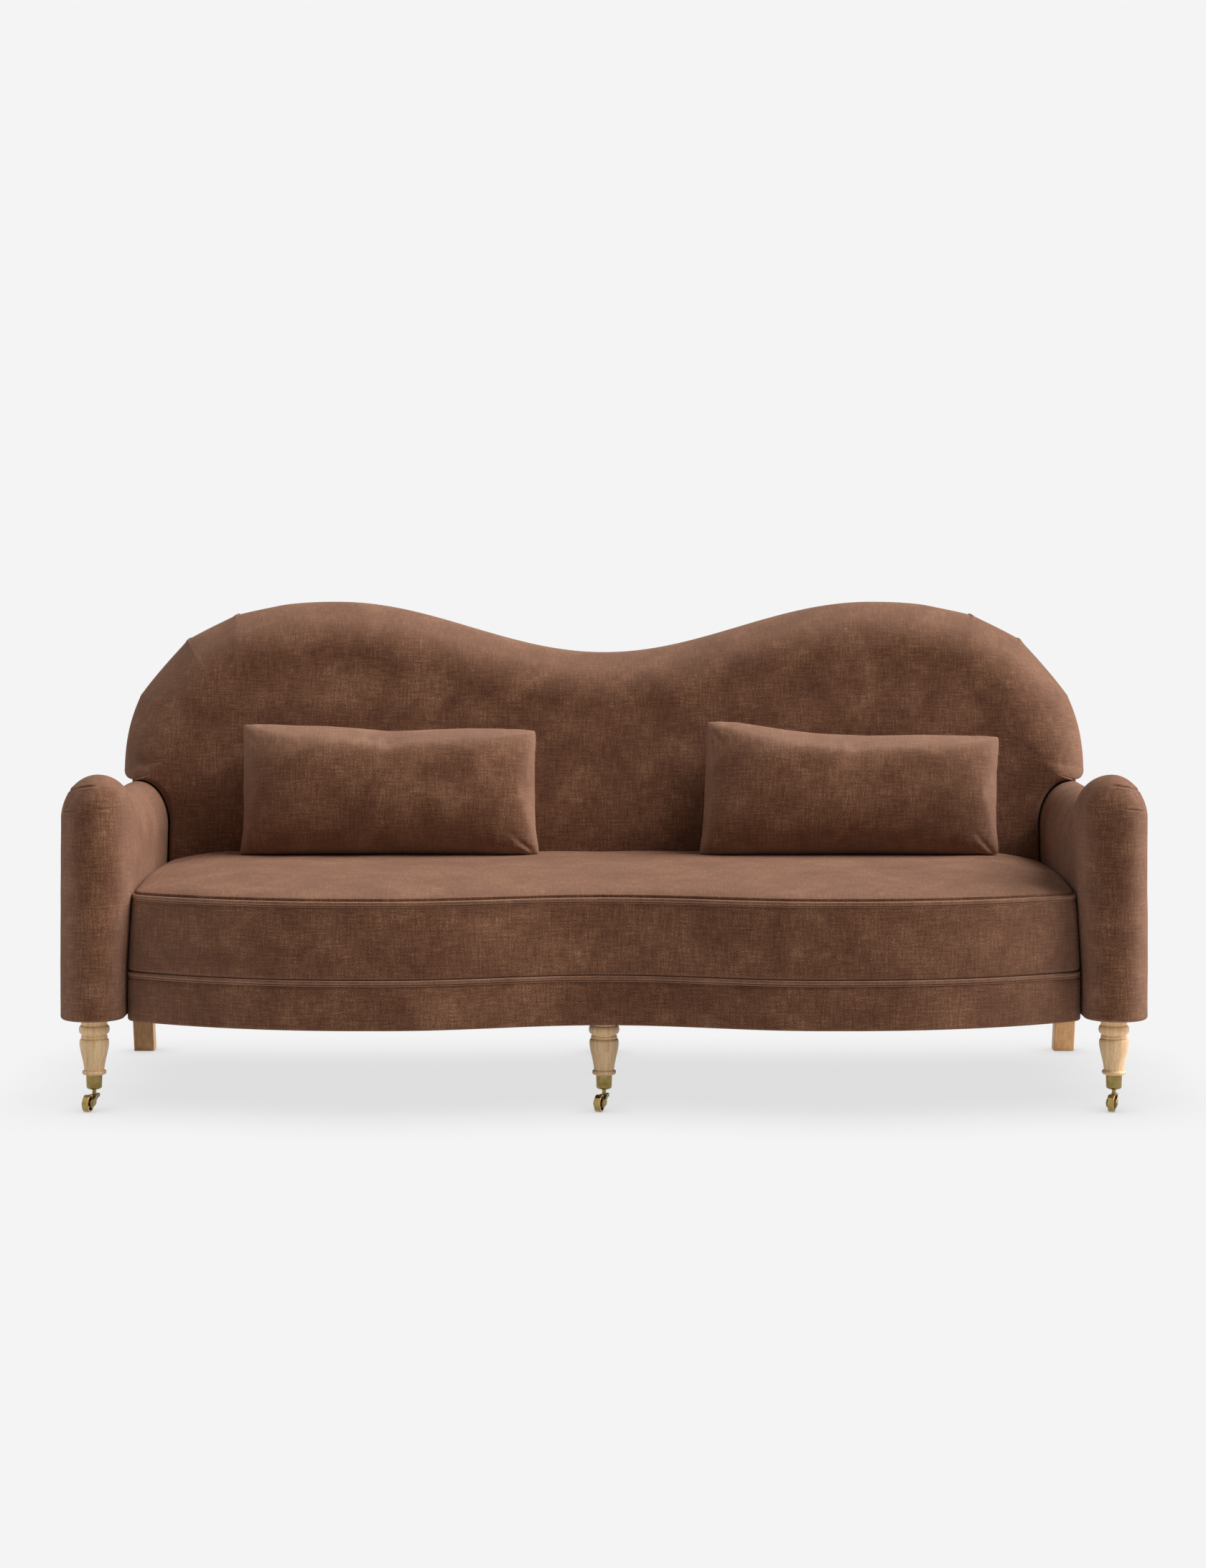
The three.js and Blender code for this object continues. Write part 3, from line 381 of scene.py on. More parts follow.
# Metal: a polished face with patches of dulling, and fine scratches that roughen it.
def metal(name):
    look = metalLooks[name]
    material = bpy.data.materials.new(name)
    tree = emptyTree(material)
    solid = addNode(tree, "TexCoord").outputs["Object"]
    patches = addNode(tree, "TexNoise", {
        "Vector": solid, "Scale": 1 / look["mottle"], "Detail": 4.0, "Roughness": 0.6})
    scratches = addNode(tree, "TexNoise", {"Vector": solid, "Scale": 1 / look["scratch"], "Detail": 2.0})
    colour = addNode(tree, "ValToRGB", [patches], list(zip((0.3, 0.48, 0.7), look["tones"])))
    rough = addNode(tree, "MapRange", {
        "Value": patches, "From Min": 0.3, "From Max": 0.7,
        "To Min": look["roughness"] + 0.16, "To Max": look["roughness"]})
    bump = addNode(tree, "Bump", {"Height": scratches, "Strength": 0.15, "Distance": 0.00005})
    shader = addNode(tree, "BsdfPrincipled", {
        "Base Color": colour, "Normal": bump, "Roughness": rough, "Metallic": 1.0})
    addNode(tree, "OutputMaterial", [shader])
    return material


clothLooks = {
    "blackCambric": {"tones": ((0.42, "#101013"), (0.68, "#2c2c30")), "fibre": 0.0016, "stretch": 5,
                     "roughness": 0.95},
    "juteWebbing": {"tones": ((0.42, "#86693c"), (0.68, "#cbb07c")), "fibre": 0.0022, "stretch": 3,
                    "roughness": 0.95},
}


# Coarse cloth: fibres crossing two ways, darker between them.
def coarseCloth(name):
    look = clothLooks[name]
    material = bpy.data.materials.new(name)
    tree = emptyTree(material)
    solid = addNode(tree, "TexCoord").outputs["Object"]
    fibre, stretched = look["fibre"], look["fibre"] * look["stretch"]
    layers = []
    for sizes in ((fibre, stretched, fibre), (stretched, fibre, fibre)):
        scaled = addNode(tree, "Mapping", {
            "Vector": solid, "Scale": tuple(1 / size for size in sizes)})
        layers.append(addNode(tree, "TexNoise", {"Vector": scaled, "Scale": 1.0, "Detail": 3.0}))
    tone = addNode(tree, "Math", layers, operation="MAXIMUM")
    colour = addNode(tree, "ValToRGB", [tone], look["tones"])
    bump = addNode(tree, "Bump", {"Height": tone, "Strength": 0.6, "Distance": 0.0003})
    shader = addNode(tree, "BsdfPrincipled", {
        "Base Color": colour, "Normal": bump, "Roughness": look["roughness"]})
    addNode(tree, "OutputMaterial", [shader])
    return material


cover = chenille("wovenChenille", chenilleLook["paintedSheenShare"])
# A paler copy with more painted sheen, for the pillows' covers and the welts; on the welts the paler tone is
# also a painted highlight.
paleSheenCover = chenille("paleSheenChenille", chenilleLook["strongerPaintedSheen"], chenilleLook["palerLift"])
beech = wood("oiledBeech")
shadedBrownBeech = wood("shadedBrownBeech")
poplar = wood("sawnPoplar")
brass = metal("antiqueBrass")
rubbedBrass = metal("rubbedBrass")
copperyBrass = metal("copperyBrass")
steel = metal("zincSteel")
cambric = coarseCloth("blackCambric")
jute = coarseCloth("juteWebbing")
print("materials made:", len(bpy.data.materials))

# The planes and curves that the sofa's pieces share, in metres.
hull = {
    "width": 2.235,
    "depth": 0.940,
    "height": 1.030,
    "underArm": 0.187,
    "humpFront": -0.4665,  # front of the seat's humps
    "armAxis": -0.3305,
    "armHalf": 0.066,
    "armSwell": 0.011,  # how far the inner side of an arm swells over the seat
    "rearRake": 0.0712,
    "rearCover": 0.0103,  # the room that the outside back takes behind the inside back and the arms
    "room": 0.0003,  # between pieces that all but touch
    "faceRake": 0.2,
    "backThickness": 0.222,
    "seatTop": 0.4805,
    "cushionLow": 0.2736,
    "lowerWelt": 0.2781,
    "upperWelt": 0.4375,
    "weltRadius": 0.0045,
    "weltProud": 0.0035,
    "legLine": -0.3305,
    "legHigh": 0.1867,
}
armCentre = hull["width"] / 2 - hull["armHalf"]
armInner = armCentre - hull["armHalf"]


# The sofa's rear at a height: half the depth, less the rake times what is left up to the top.
def rearFace(z):
    return hull["depth"] / 2 - hull["rearRake"] * (hull["height"] - z)


# The rear of the arms and of the inside back.
def rearInside(z):
    return rearFace(z) - hull["rearCover"]


# How far an arm's inner side has swelled at a height, from the lower welt up to the upper one.
def swellAt(z):
    return hull["armSwell"] * np.clip((z - hull["lowerWelt"]) / (hull["upperWelt"] - hull["lowerWelt"]), 0, 1)


# The front of the back at a height, without its crown: it rakes back from over the seat.
def faceLine(z):
    return rearFace(hull["seatTop"]) - hull["backThickness"] + hull["faceRake"] * (z - hull["seatTop"])


armLength = rearInside(hull["underArm"]) - hull["room"] - hull["armAxis"]
seatPlan = {
    "dipDepth": 0.079,
    "dipHalf": 0.440,
    "humpOffset": 0.500,
    "shoulderRadius": 0.900,
    "corner": 0.024,
    "ease": 0.0014,
}


# The seat's front line: a cosine dip between two humps, and a circle that falls away outside them.
def seatFront(x):
    plan = seatPlan
    out = np.abs(x)
    swing = np.cos(math.pi * np.minimum(out, plan["dipHalf"]) / plan["dipHalf"])
    past = np.clip(out - plan["humpOffset"], 0, plan["shoulderRadius"])
    fall = plan["shoulderRadius"] - np.sqrt(plan["shoulderRadius"] ** 2 - past ** 2)
    return hull["humpFront"] + plan["dipDepth"] / 2 * (1 + swing) + fall


# The front edge from left to right, `inset` in along its normal, with a rounded corner at each end.
# `narrow` is how far the arms have swelled there. Each row of the answer is one inset.
def frontEdge(inset, across, bends=10, narrow=0.0, ease=seatPlan["ease"]):
    inset = np.atleast_1d(inset)[:, None]
    half = armInner - ease - np.atleast_1d(narrow)[:, None] - np.maximum(0, inset)
    corner = half - seatPlan["corner"]

    def at(x):
        tiny = 0.0003
        slope = (seatFront(x + tiny) - seatFront(x - tiny)) / (2 * tiny)
        return seatFront(x) + inset * np.hypot(1, slope)

    middleX = corner * np.linspace(-1, 1, across)
    t = np.linspace(0, 1, bends + 1)[None, 1:]
    bendX = bent(corner, half, half, t)
    bendY = bent(at(corner), at(half), at(half) + seatPlan["corner"], t)
    x = np.concatenate([-bendX[:, ::-1], middleX, bendX], axis=1)
    y = np.concatenate([bendY[:, ::-1], at(middleX), bendY], axis=1)
    return x, y


cameraFit = {
    "place": (0, -6.830, 1.1602),
    "sensor": 36,
    "focal": 4400,  # in pixels of the whole picture
    "size": (1680, 2185),
    "middle": 841.5,  # the column of the sofa's middle
    "horizon": 760,  # the row of the camera's height
    "farthest": 100,
}
cameraData = bpy.data.cameras.new("camera")
cameraData.sensor_width = cameraFit["sensor"]
cameraData.lens = cameraFit["sensor"] * cameraFit["focal"] / cameraFit["size"][1]
cameraData.shift_x = (cameraFit["size"][0] / 2 - cameraFit["middle"]) / cameraFit["size"][1]
cameraData.shift_y = (cameraFit["horizon"] - cameraFit["size"][1] / 2) / cameraFit["size"][1]
cameraData.clip_end = cameraFit["farthest"]
camera = placed("camera", cameraData)
camera.location = cameraFit["place"]
camera.rotation_euler = (math.pi / 2, 0, 0)
bpy.context.scene.camera = camera

lighting = {
    "backdrop": "#f4f4f4",
    "zenith": 0.17,  # brightness of the room overhead
    "horizon": 0.13,
    # Each lamp is a wide even panel: its strength, its width in degrees, its bearing from the front
    # towards the sofa's right end in the picture, and its height over the floor.
    "lamps": {
        "key": {"energy": 3.9, "angle": 44, "bearing": 88, "height": 50},
        "lowRight": {"energy": 1.05, "angle": 55, "bearing": 95, "height": 12},
        "lowLeft": {"energy": 0.4, "angle": 55, "bearing": -90, "height": 12},
    },
    "shadowDepth": 0.30,  # how dark the painted shadow makes the floor under the sofa
    "shadowReach": 0.30,
    "contactDepth": 0.22,  # how much darker the painted shadow gets against a foot
    "contactReach": 0.07,
    "floorBounce": "#e0e0e0",
    "floorReach": 60,
}

world = bpy.data.worlds.new("studio")
bpy.context.scene.world = world
tree = emptyTree(world)


# 1 where the camera, a reflection or a refraction looks, so that all three see the backdrop.
def seenRay(tree):
    rays = addNode(tree, "LightPath").outputs
    both = addNode(tree, "Math", [rays["Is Camera Ray"], rays["Is Glossy Ray"]], operation="MAXIMUM")
    return addNode(tree, "Math", [both, rays["Is Transmission Ray"]], operation="MAXIMUM")


# The room is brighter overhead than at the level of the horizon.
direction = addNode(tree, "TexCoord").outputs["Generated"]
up = addNode(tree, "SeparateXYZ", [direction]).outputs[2]
level = addNode(tree, "MapRange", {
    "Value": up, "From Min": 0.0, "From Max": 0.9,
    "To Min": lighting["horizon"], "To Max": lighting["zenith"]}, interpolation_type="SMOOTHSTEP")
room = addNode(tree, "Background", {"Color": (1, 1, 1, 1), "Strength": level})
shown = addNode(tree, "Background", {"Color": hexColour(lighting["backdrop"]), "Strength": 1.0})
seen = addNode(tree, "MixShader", [seenRay(tree), room, shown])
addNode(tree, "OutputWorld", [seen])

for name, lamp in lighting["lamps"].items():
    light = bpy.data.lights.new(name, "SUN")
    light.energy = lamp["energy"]
    light.angle = math.radians(lamp["angle"])
    turn = (math.radians(90 - lamp["height"]), 0, math.radians(lamp["bearing"]))
    placed(name, light).rotation_euler = turn

reach = lighting["floorReach"]
floorMesh = bpy.data.meshes.new("floor")
floorMesh.from_pydata([(-reach, -reach, 0), (reach, -reach, 0), (reach, reach, 0), (-reach, reach, 0)],
                      [], [(0, 1, 2, 3)])
floor = placed("floor", floorMesh)

# The floor shows the backdrop's white, with a painted shadow from ambient occlusion that darkens it where the
# sofa stands close over it.
floorMaterial = bpy.data.materials.new("paleStudioFloor")
tree = emptyTree(floorMaterial)
shades = []
for kind in ("shadow", "contact"):
    openness = addNode(tree, "AmbientOcclusion", {"Distance": lighting[kind + "Reach"]}, samples=16)
    shades.append(addNode(tree, "MapRange", {
        "Value": openness.outputs["AO"], "To Min": 1 - lighting[kind + "Depth"], "To Max": 1.0}))
bright = addNode(tree, "Math", shades, operation="MULTIPLY")
glow = addNode(tree, "Emission", {"Color": hexColour(lighting["backdrop"]), "Strength": bright})
bounce = addNode(tree, "BsdfDiffuse", {"Color": hexColour(lighting["floorBounce"])})
seen = addNode(tree, "MixShader", [seenRay(tree), bounce, glow])
addNode(tree, "OutputMaterial", [seen])
floorMesh.materials.append(floorMaterial)
bpy.context.scene.view_settings.view_transform = "Standard"
print("camera, lights and floor placed")

armShape = {
    "roll": 0.084,
    "rearRoll": 0.110,
    "lean": 0.006,
    "frontTop": 0.688,
    "rearTop": 0.631,
    "drop": 0.225,
    "hem": 0.007,
    "boardInset": 0.0127,
    "boardRoom": 0.0256,
    "bulge": 0.0030,  # how far the long sides swell
    # Where they swell, from the floor and along the arm.
    "bulgeTop": 0.60,
    "bulgeFront": -0.33,
    "bulgeRun": 0.72,
    "bulgeOut": 0.04,  # and only this far out from the arm's middle
    "uneven": 0.0009,
    "creaseDepth": 0.0020,
    "creaseWidth": 0.0014,
    # Beside a crease the cloth stands up a little.
    "ridge": 0.0008,
    "ridgeAt": 0.004,
    "ridgeWidth": 0.003,
    # Each crease runs over the round front from one distance outside the arm's middle to another,
    # and from one height to another.
    "creases": ((0.0500, -0.0070, 0.655, 0.668), (0.0520, 0.0100, 0.6165, 0.6215),
                (-0.022, -0.040, 0.620, 0.6225)),
}


# An arm as rings that climb it. A ring runs forward along the inner side, half way round the front,
# back along the outer side and across the rear. Over the shoulder the rings close in on the crest
# as an ellipse: the cosine of the climb across, the sine of it up.
def armPad(side):
    shape = armShape
    length, nose, rear = 80, 110, 12
    bends = np.linspace(0, math.pi, nose)
    share = np.concatenate([
        np.linspace(1, 0, length, endpoint=False) ** 1.15, np.zeros(nose),
        np.linspace(0, 1, length) ** 1.15, np.ones(rear)])
    acrossX = np.concatenate([
        np.full(length, -1.0), -np.cos(bends), np.full(length, 1.0), np.linspace(1, -1, rear + 2)[1:-1]])
    acrossY = np.concatenate([np.zeros(length), -np.sin(bends), np.zeros(length + rear)])
    half, hem, low = hull["armHalf"], shape["hem"], hull["underArm"]
    fall = eased(share * armLength / shape["drop"])
    roll = mixed(shape["roll"], shape["rearRoll"], fall)
    shoulder = mixed(shape["frontTop"], shape["rearTop"], fall) - roll
    # Each row is how wide the ring is, how far it leans and how high it lies: the hollow underside,
    # the hem, the walls, and the shoulder, whose rows stand close together where the creases lie.
    reach = (half - shape["boardInset"]) / half
    rows = [(c, 0.0, low + shape["boardRoom"]) for c in (0.0, 0.5, reach)]
    rows += [(c, 0.0, low) for c in (reach, mixed(reach, (half - hem) / half, 0.5))]
    rows += [((half - hem + hem * math.cos(angle)) / half, 0.0, low + hem + hem * math.sin(angle))
             for angle in np.linspace(-math.pi / 2, 0, 8)]
    rows += [(1.0, 0.0, mixed(low + hem, shoulder, t)) for t in np.linspace(0, 1, 56)[1:]]
    climb = np.concatenate([np.linspace(0, 1.05, 100)[1:], np.linspace(1.05, math.pi / 2, 26)[1:]])
    rows += [(math.cos(angle), math.sin(angle), shoulder + roll * math.sin(angle)) for angle in climb]
    points = np.zeros((len(rows), len(share), 3))
    for k, (c, s, z) in enumerate(rows):
        wide = half + np.where(acrossX < 0, swellAt(z), 0)
        points[k, :, 0] = armCentre + wide * c * acrossX - shape["lean"] * s
        points[k, :, 1] = mixed(hull["armAxis"], rearInside(z), share) + half * c * acrossY
        points[k, :, 2] = z
    flat = ringed(points)
    wall = np.argmax([c == 1.0 for c, s, z in rows])
    cloth = stacked(along(flat[wall])[None, :], along(flat[:, length + nose // 2])[:, None])
    points[..., 0] *= side
    name = "left" if side < 0 else "right"
    piece = pieceFrom(name + "ArmPad", [gridMesh("armPad", points, cloth, ring=True)])

    def fullness(p):
        out = p[:, 0] * side - armCentre
        wallShare = np.clip((p[:, 2] - low) / (shape["bulgeTop"] - low), 0, 1)
        lengthShare = np.clip((p[:, 1] - shape["bulgeFront"]) / shape["bulgeRun"], 0, 1)
        bulge = shape["bulge"] * np.sin(math.pi * wallShare) * np.sin(math.pi * lengthShare)
        bulge = bulge * (out > shape["bulgeOut"])
        uneven = shape["uneven"] * swell(p, 0.22, 5 if side < 0 else 8) * eased((p[:, 2] - low - 0.01) / 0.05)
        creases = np.zeros(len(p))
        for outer, inner, first, last in shape["creases"]:
            t = (outer - out) / (outer - inner)
            faded = eased(t / 0.25 + 0.5) * eased((1 - t) / 0.25 + 0.5) * (p[:, 1] < hull["armAxis"])
            below = p[:, 2] - mixed(first, last, np.sin(np.clip(t, 0, 1) * math.pi / 2))
            ridge = shape["ridge"] * bell(np.abs(below) - shape["ridgeAt"], shape["ridgeWidth"])
            creases += faded * (ridge - shape["creaseDepth"] * bell(below, shape["creaseWidth"]))
        return bulge + uneven + creases

    pushOut(piece, fullness)
    dress(piece, cover, "root", "chenille", name + "_arm_pad")


for side in (-1, 1):
    armPad(side)
print("arms padded")

seatShape = {
    "crown": 0.043,
    "crownSide": 0.184,
    "crownPower": 3,
    "crownSidePower": 0.725,
    "lipShare": 0.30,  # share of the crown's height in the round of its edge
    "lipReach": 0.07,  # and how far in that round goes, as a share of the depth
    "sideLift": 0.016,  # how much higher the crown starts beside the middle of an arm than at the front
    "sideFade": 0.06,  # how far in from the arm that is so
    "boxingBulge": 0.003,
    "seamShare": 0.6,  # how much of a welt's radius a seam takes above and below it
    "seamTuck": 0.0050,
    "seamSoftness": 0.0055,  # height over which the cloth tucks into a seam
    "underTuck": 0.007,
    "upperTuck": 0.006,
    "rearRoom": 0.0163,
    # The unevenness of the top and of the boxing, and the height that each starts at or lies at.
    "uneven": 0.0012,
    "unevenFrom": 0.445,
    "boxingUneven": 0.0008,
    "boxingMiddle": 0.358,
    "columns": {"front": 250, "corner": 10, "side": 44},
}


# The seat as rings: out over the flat underside, up the boxing with a tuck at each welt, and over
# the crown, where a ring lies a share of the way from the edge to the rear line of the cushion.
def seatCushion():
    shape, columns = seatShape, seatShape["columns"]
    low, lower, upper, top = hull["cushionLow"], hull["lowerWelt"], hull["upperWelt"], hull["seatTop"]
    seam = hull["weltRadius"] * shape["seamShare"]
    # Each level is its height, how far in it lies, and its share of the way to the rear.
    levels = [(low, shape["underTuck"], share) for share in np.linspace(1, 0, 8)[:-1]]
    levels += [(z, shape["underTuck"], 0.0) for z in np.linspace(low, lower + seam, 4)]
    for t in np.linspace(0, 1, 26):
        z = mixed(lower + seam, upper - seam, 0.5 - 0.5 * math.cos(math.pi * t))
        edge = min(z - lower - seam, upper - seam - z)
        tuck = shape["seamTuck"] * rolled(edge / shape["seamSoftness"], 2)
        belly = shape["boxingBulge"] * math.sin(math.pi * (z - lower) / (upper - lower))
        levels.append((z, tuck - belly, 0.0))
    crownLow = upper + seam
    levels += [(z, shape["upperTuck"], 0.0) for z in np.linspace(upper - seam, crownLow, 4)]
    first = len(levels)
    for share in np.linspace(0, 1, 64) ** 1.9:
        lip = math.sqrt(1 - max(0.0, 1 - share / shape["lipReach"]) ** 2)
        rise = mixed(1 - (1 - share) ** shape["crownPower"], lip, shape["lipShare"])
        z = mixed(crownLow, top, rise)
        levels.append((z, shape["seamTuck"] * rolled((z - crownLow) / shape["seamSoftness"], 2), share))
    z, inset, share = np.array(levels, float).T
    x, y = frontEdge(inset, columns["front"], columns["corner"], swellAt(z))
    rear = faceLine(z) - shape["rearRoom"]
    right = armInner - swellAt(z) - seatPlan["ease"] - np.maximum(0, inset)
    t = np.linspace(0, 1, columns["side"] + 2)[1:-1]
    sideX = mixed(x[:, -1:], right[:, None], t)
    sideY = mixed(y[:, -1:], rear[:, None], t)
    rearX = x[:, ::-1] * (right / x[:, -1])[:, None]
    rearY = np.broadcast_to(rear[:, None], rearX.shape)
    ringX = np.concatenate([x, sideX, rearX, -sideX[:, ::-1]], axis=1)
    ringY = np.concatenate([y, sideY, rearY, sideY[:, ::-1]], axis=1)
    level = (right - shape["crownSide"])[:, None]
    onward = share[:, None] ** shape["crownSidePower"]
    # Beside the arms the crown starts higher behind the front corner, as a skewed half sine.
    behind = np.clip((ringY - y[:, -1:]) / (rear[:, None] - y[:, -1:]), 0, 1)
    lift = shape["sideLift"] * np.sin(0.75 * math.pi * behind ** 0.8)
    lift = lift * eased((np.abs(ringX) - right[:, None] + shape["sideFade"]) / shape["sideFade"])
    lift = lift * (top - z[:, None]) / (top - crownLow) * (np.arange(len(z))[:, None] >= first)
    points = stacked(mixed(ringX, np.clip(ringX, -level, level), onward),
                     mixed(ringY, rear[:, None], share[:, None]), z[:, None] + lift)
    closed = ringed(points)
    climb = along(points[:, columns["corner"] + columns["front"] // 2])
    cloth = stacked(closed[..., 0], climb[:, None])
    # On the top the cloth lies by its way over the crown from the front edge.
    onTop = ringY.shape[1] // 2
    steps = np.linalg.norm(np.diff(closed[first:, :onTop, 1:], axis=0), axis=-1)
    cloth[first + 1:, :onTop, 1] = climb[first] + np.cumsum(steps, axis=0)
    piece = pieceFrom("seatCushion", [gridMesh("seatCushion", points, cloth, ring=True)])

    def fullness(p):
        top = shape["uneven"] * swell(p, 0.34, 21) * eased((p[:, 2] - shape["unevenFrom"]) / 0.03)
        boxing = shape["boxingUneven"] * swell(p, 0.16, 4) * bell(p[:, 2] - shape["boxingMiddle"], 0.05)
        return top + boxing * (p[:, 1] < -0.2)

    pushOut(piece, fullness)
    dress(piece, cover, "root", "chenille", "seat_cushion")


seatCushion()
print("seat made")


# A closed profile carried along the seat's front edge. The profile lists how far in from the edge
# and how high each of its points lies. The ends are closed on the profile's middle.
def alongFront(name, inset, height, across=260, corner=12, tail=0.0, narrow=0.0):
    x, y = frontEdge(inset, across, corner, narrow)
    if tail:
        x = np.concatenate([x[:, :1], x, x[:, -1:]], axis=1)
        y = np.concatenate([y[:, :1] + tail, y, y[:, -1:] + tail], axis=1)
    points = stacked(x, y, height[:, None])
    points = capped(points.swapaxes(0, 1)).swapaxes(0, 1)
    points = np.concatenate([points, points[:1]], axis=0)
    profile = stacked(inset, height)
    cloth = stacked(along(points[0])[None, :], along(np.concatenate([profile, profile[:1]]))[:, None])
    return pieceFrom(name, [gridMesh(name, points, cloth)])


borderShape = {
    "low": 0.1805,
    "high": 0.2733,
    "thickness": 0.013,
    "hem": 0.006,
    "bulge": 0.0022,
    "tuck": 0.0045,
    "softness": 0.0055,  # height over which it tucks in under the lower welt
}


# The border over the seat rail: a rounded hem, a face that swells as a half sine and tucks in at its
# top, and a flat rear.
def frontBorder():
    shape = borderShape
    low, high, hem = shape["low"], shape["high"], shape["hem"]
    angle = np.linspace(-math.pi / 2, 0, 8)
    t = np.linspace(0, 1, 20)[1:]
    face = mixed(low + hem, high, t)
    tuck = shape["tuck"] * rolled((high - face) / shape["softness"], 2)
    heights = np.concatenate([low + hem * (1 + np.sin(angle)), face, (high, mixed(high, low, 0.5), low)])
    insets = np.concatenate([
        hem / 2 * (1 - np.cos(angle)), tuck - shape["bulge"] * np.sin(math.pi * t), [shape["thickness"]] * 3])
    piece = alongFront("frontBorder", insets, heights)
    dress(piece, cover, "root", "chenille", "front_border")

frontBorder()

weltShape = {
    "radius": 0.0042,
    "flangeRadius": 0.0022,
    "flangeDrop": 0.0062,
    "flangeIn": 0.0012,
    "tail": 0.024,  # how far each end runs back between the arm and the seat
}


# A covered cord with the ridge of its stitched flange just under it: a round profile, and a smaller
# one that overlaps its foot.
def welt(name, node, height):
    shape = weltShape
    radius, flange, drop = shape["radius"], shape["flangeRadius"], shape["flangeDrop"]
    turn = np.linspace(0, 2 * math.pi, 20, endpoint=False)
    centre = hull["weltRadius"] - hull["weltProud"]
    settings = {"tail": shape["tail"], "narrow": float(swellAt(height))}
    main = alongFront(name, centre - radius * np.cos(turn), height + radius * np.sin(turn), **settings)
    under = alongFront(name + "Flange", centre + shape["flangeIn"] - flange * np.cos(turn),
                       height - drop + flange * np.sin(turn), **settings)
    # The welts are given the paler copy with more painted sheen, which paints a highlight on them.
    dress(main, paleSheenCover, "root", "chenille", node)
    dress(under, paleSheenCover, "root", "chenille")


welt("upperWelt", "upper_welt", hull["upperWelt"])
welt("lowerWelt", "lower_welt", hull["lowerWelt"])
print("border and welts made")

backShape = {
    "half": 1.085,
    "hump": 0.615,
    "dip": 0.914,
    "shoulder": 0.655,
    "shoulderPower": 2.35,
    "gap": 0.0032,
    "wingCorner": 0.022,
    "crestRound": 0.112,
    "wingRound": 0.100,
    "wingReach": 0.165,  # how far in from its edge a wing turns back, which is more than its depth
    "notchRound": 0.016,
    "crown": 0.024,
    "crownReach": 0.30,  # how far in from the edge the face has swelled to its full crown
    "crownLow": 0.30,  # the height that the crown starts at, and how far up it grows
    "crownRise": 0.12,
    "spineHeight": 0.720,
    "spineShare": 0.72,
    "pleats": (1.054, 0.9515, 0.842),  # places along the shoulder, from the middle
    "chordFrom": 0.73,  # where the straight lines between the pleats begin
    "chordLift": 0.0014,
    "chordShare": 0.7,  # how far the cloth is drawn straight from pleat to pleat
    "tooth": 0.0030,  # how far a pleat's fold stands up at the edge
    "toothWidth": 0.010,
    "toothRun": 0.010,  # how far in on the face it has flattened out
    "pleatDepth": 0.0006,
    "pleatLength": 0.026,
    # The rounding of a wing, and how far in it reaches, where the wing starts over the arm and where
    # its corner ends, as shares of the whole.
    "wingRounds": (0.4, 0.8),
    "wingReaches": (0.35, 0.7),
    "uneven": 0.0015,
}


# The back's top line: a cosine from the middle's dip up to each hump, and a quarter of a superellipse
# from there down to the shoulder's end.
def humpLine(x):
    shape = backShape
    out = np.abs(x)
    swing = np.cos(math.pi * np.minimum(out, shape["hump"]) / shape["hump"])
    near = mixed(shape["dip"], hull["height"], (1 - swing) / 2)
    share = np.clip((out - shape["hump"]) / (shape["half"] - shape["hump"]), 0, 1)
    far = mixed(shape["shoulder"], hull["height"], rolled(share, shape["shoulderPower"]))
    return np.where(out < shape["hump"], near, far)


# The back's top edge. On the shoulders it is drawn part of the way to the straight lines between the
# pleats.
def backTop(x):
    shape = backShape
    out = np.abs(x)
    lift = shape["chordLift"]
    knots = np.array([shape["hump"], shape["chordFrom"], *shape["pleats"][::-1], shape["half"]])
    chord = np.interp(out, knots, humpLine(knots) + (0, 0, lift, lift, 0, 0))
    drawn = eased((out - shape["chordFrom"] + 0.01) / 0.05) * eased((shape["pleats"][0] - out) / 0.004)
    return mixed(humpLine(out), chord, shape["chordShare"] * drawn)


# Each upper pleat ends in a small tooth that stands up at the edge, steep towards the middle.
def pleatTeeth(x):
    past = (np.abs(x)[:, None] - backShape["pleats"][1:]) / backShape["toothWidth"]
    rise = np.where(past < 0, eased(1 + past * 5), np.clip(1 - past, 0, 1) ** 1.5)
    return backShape["tooth"] * rise.sum(axis=1)


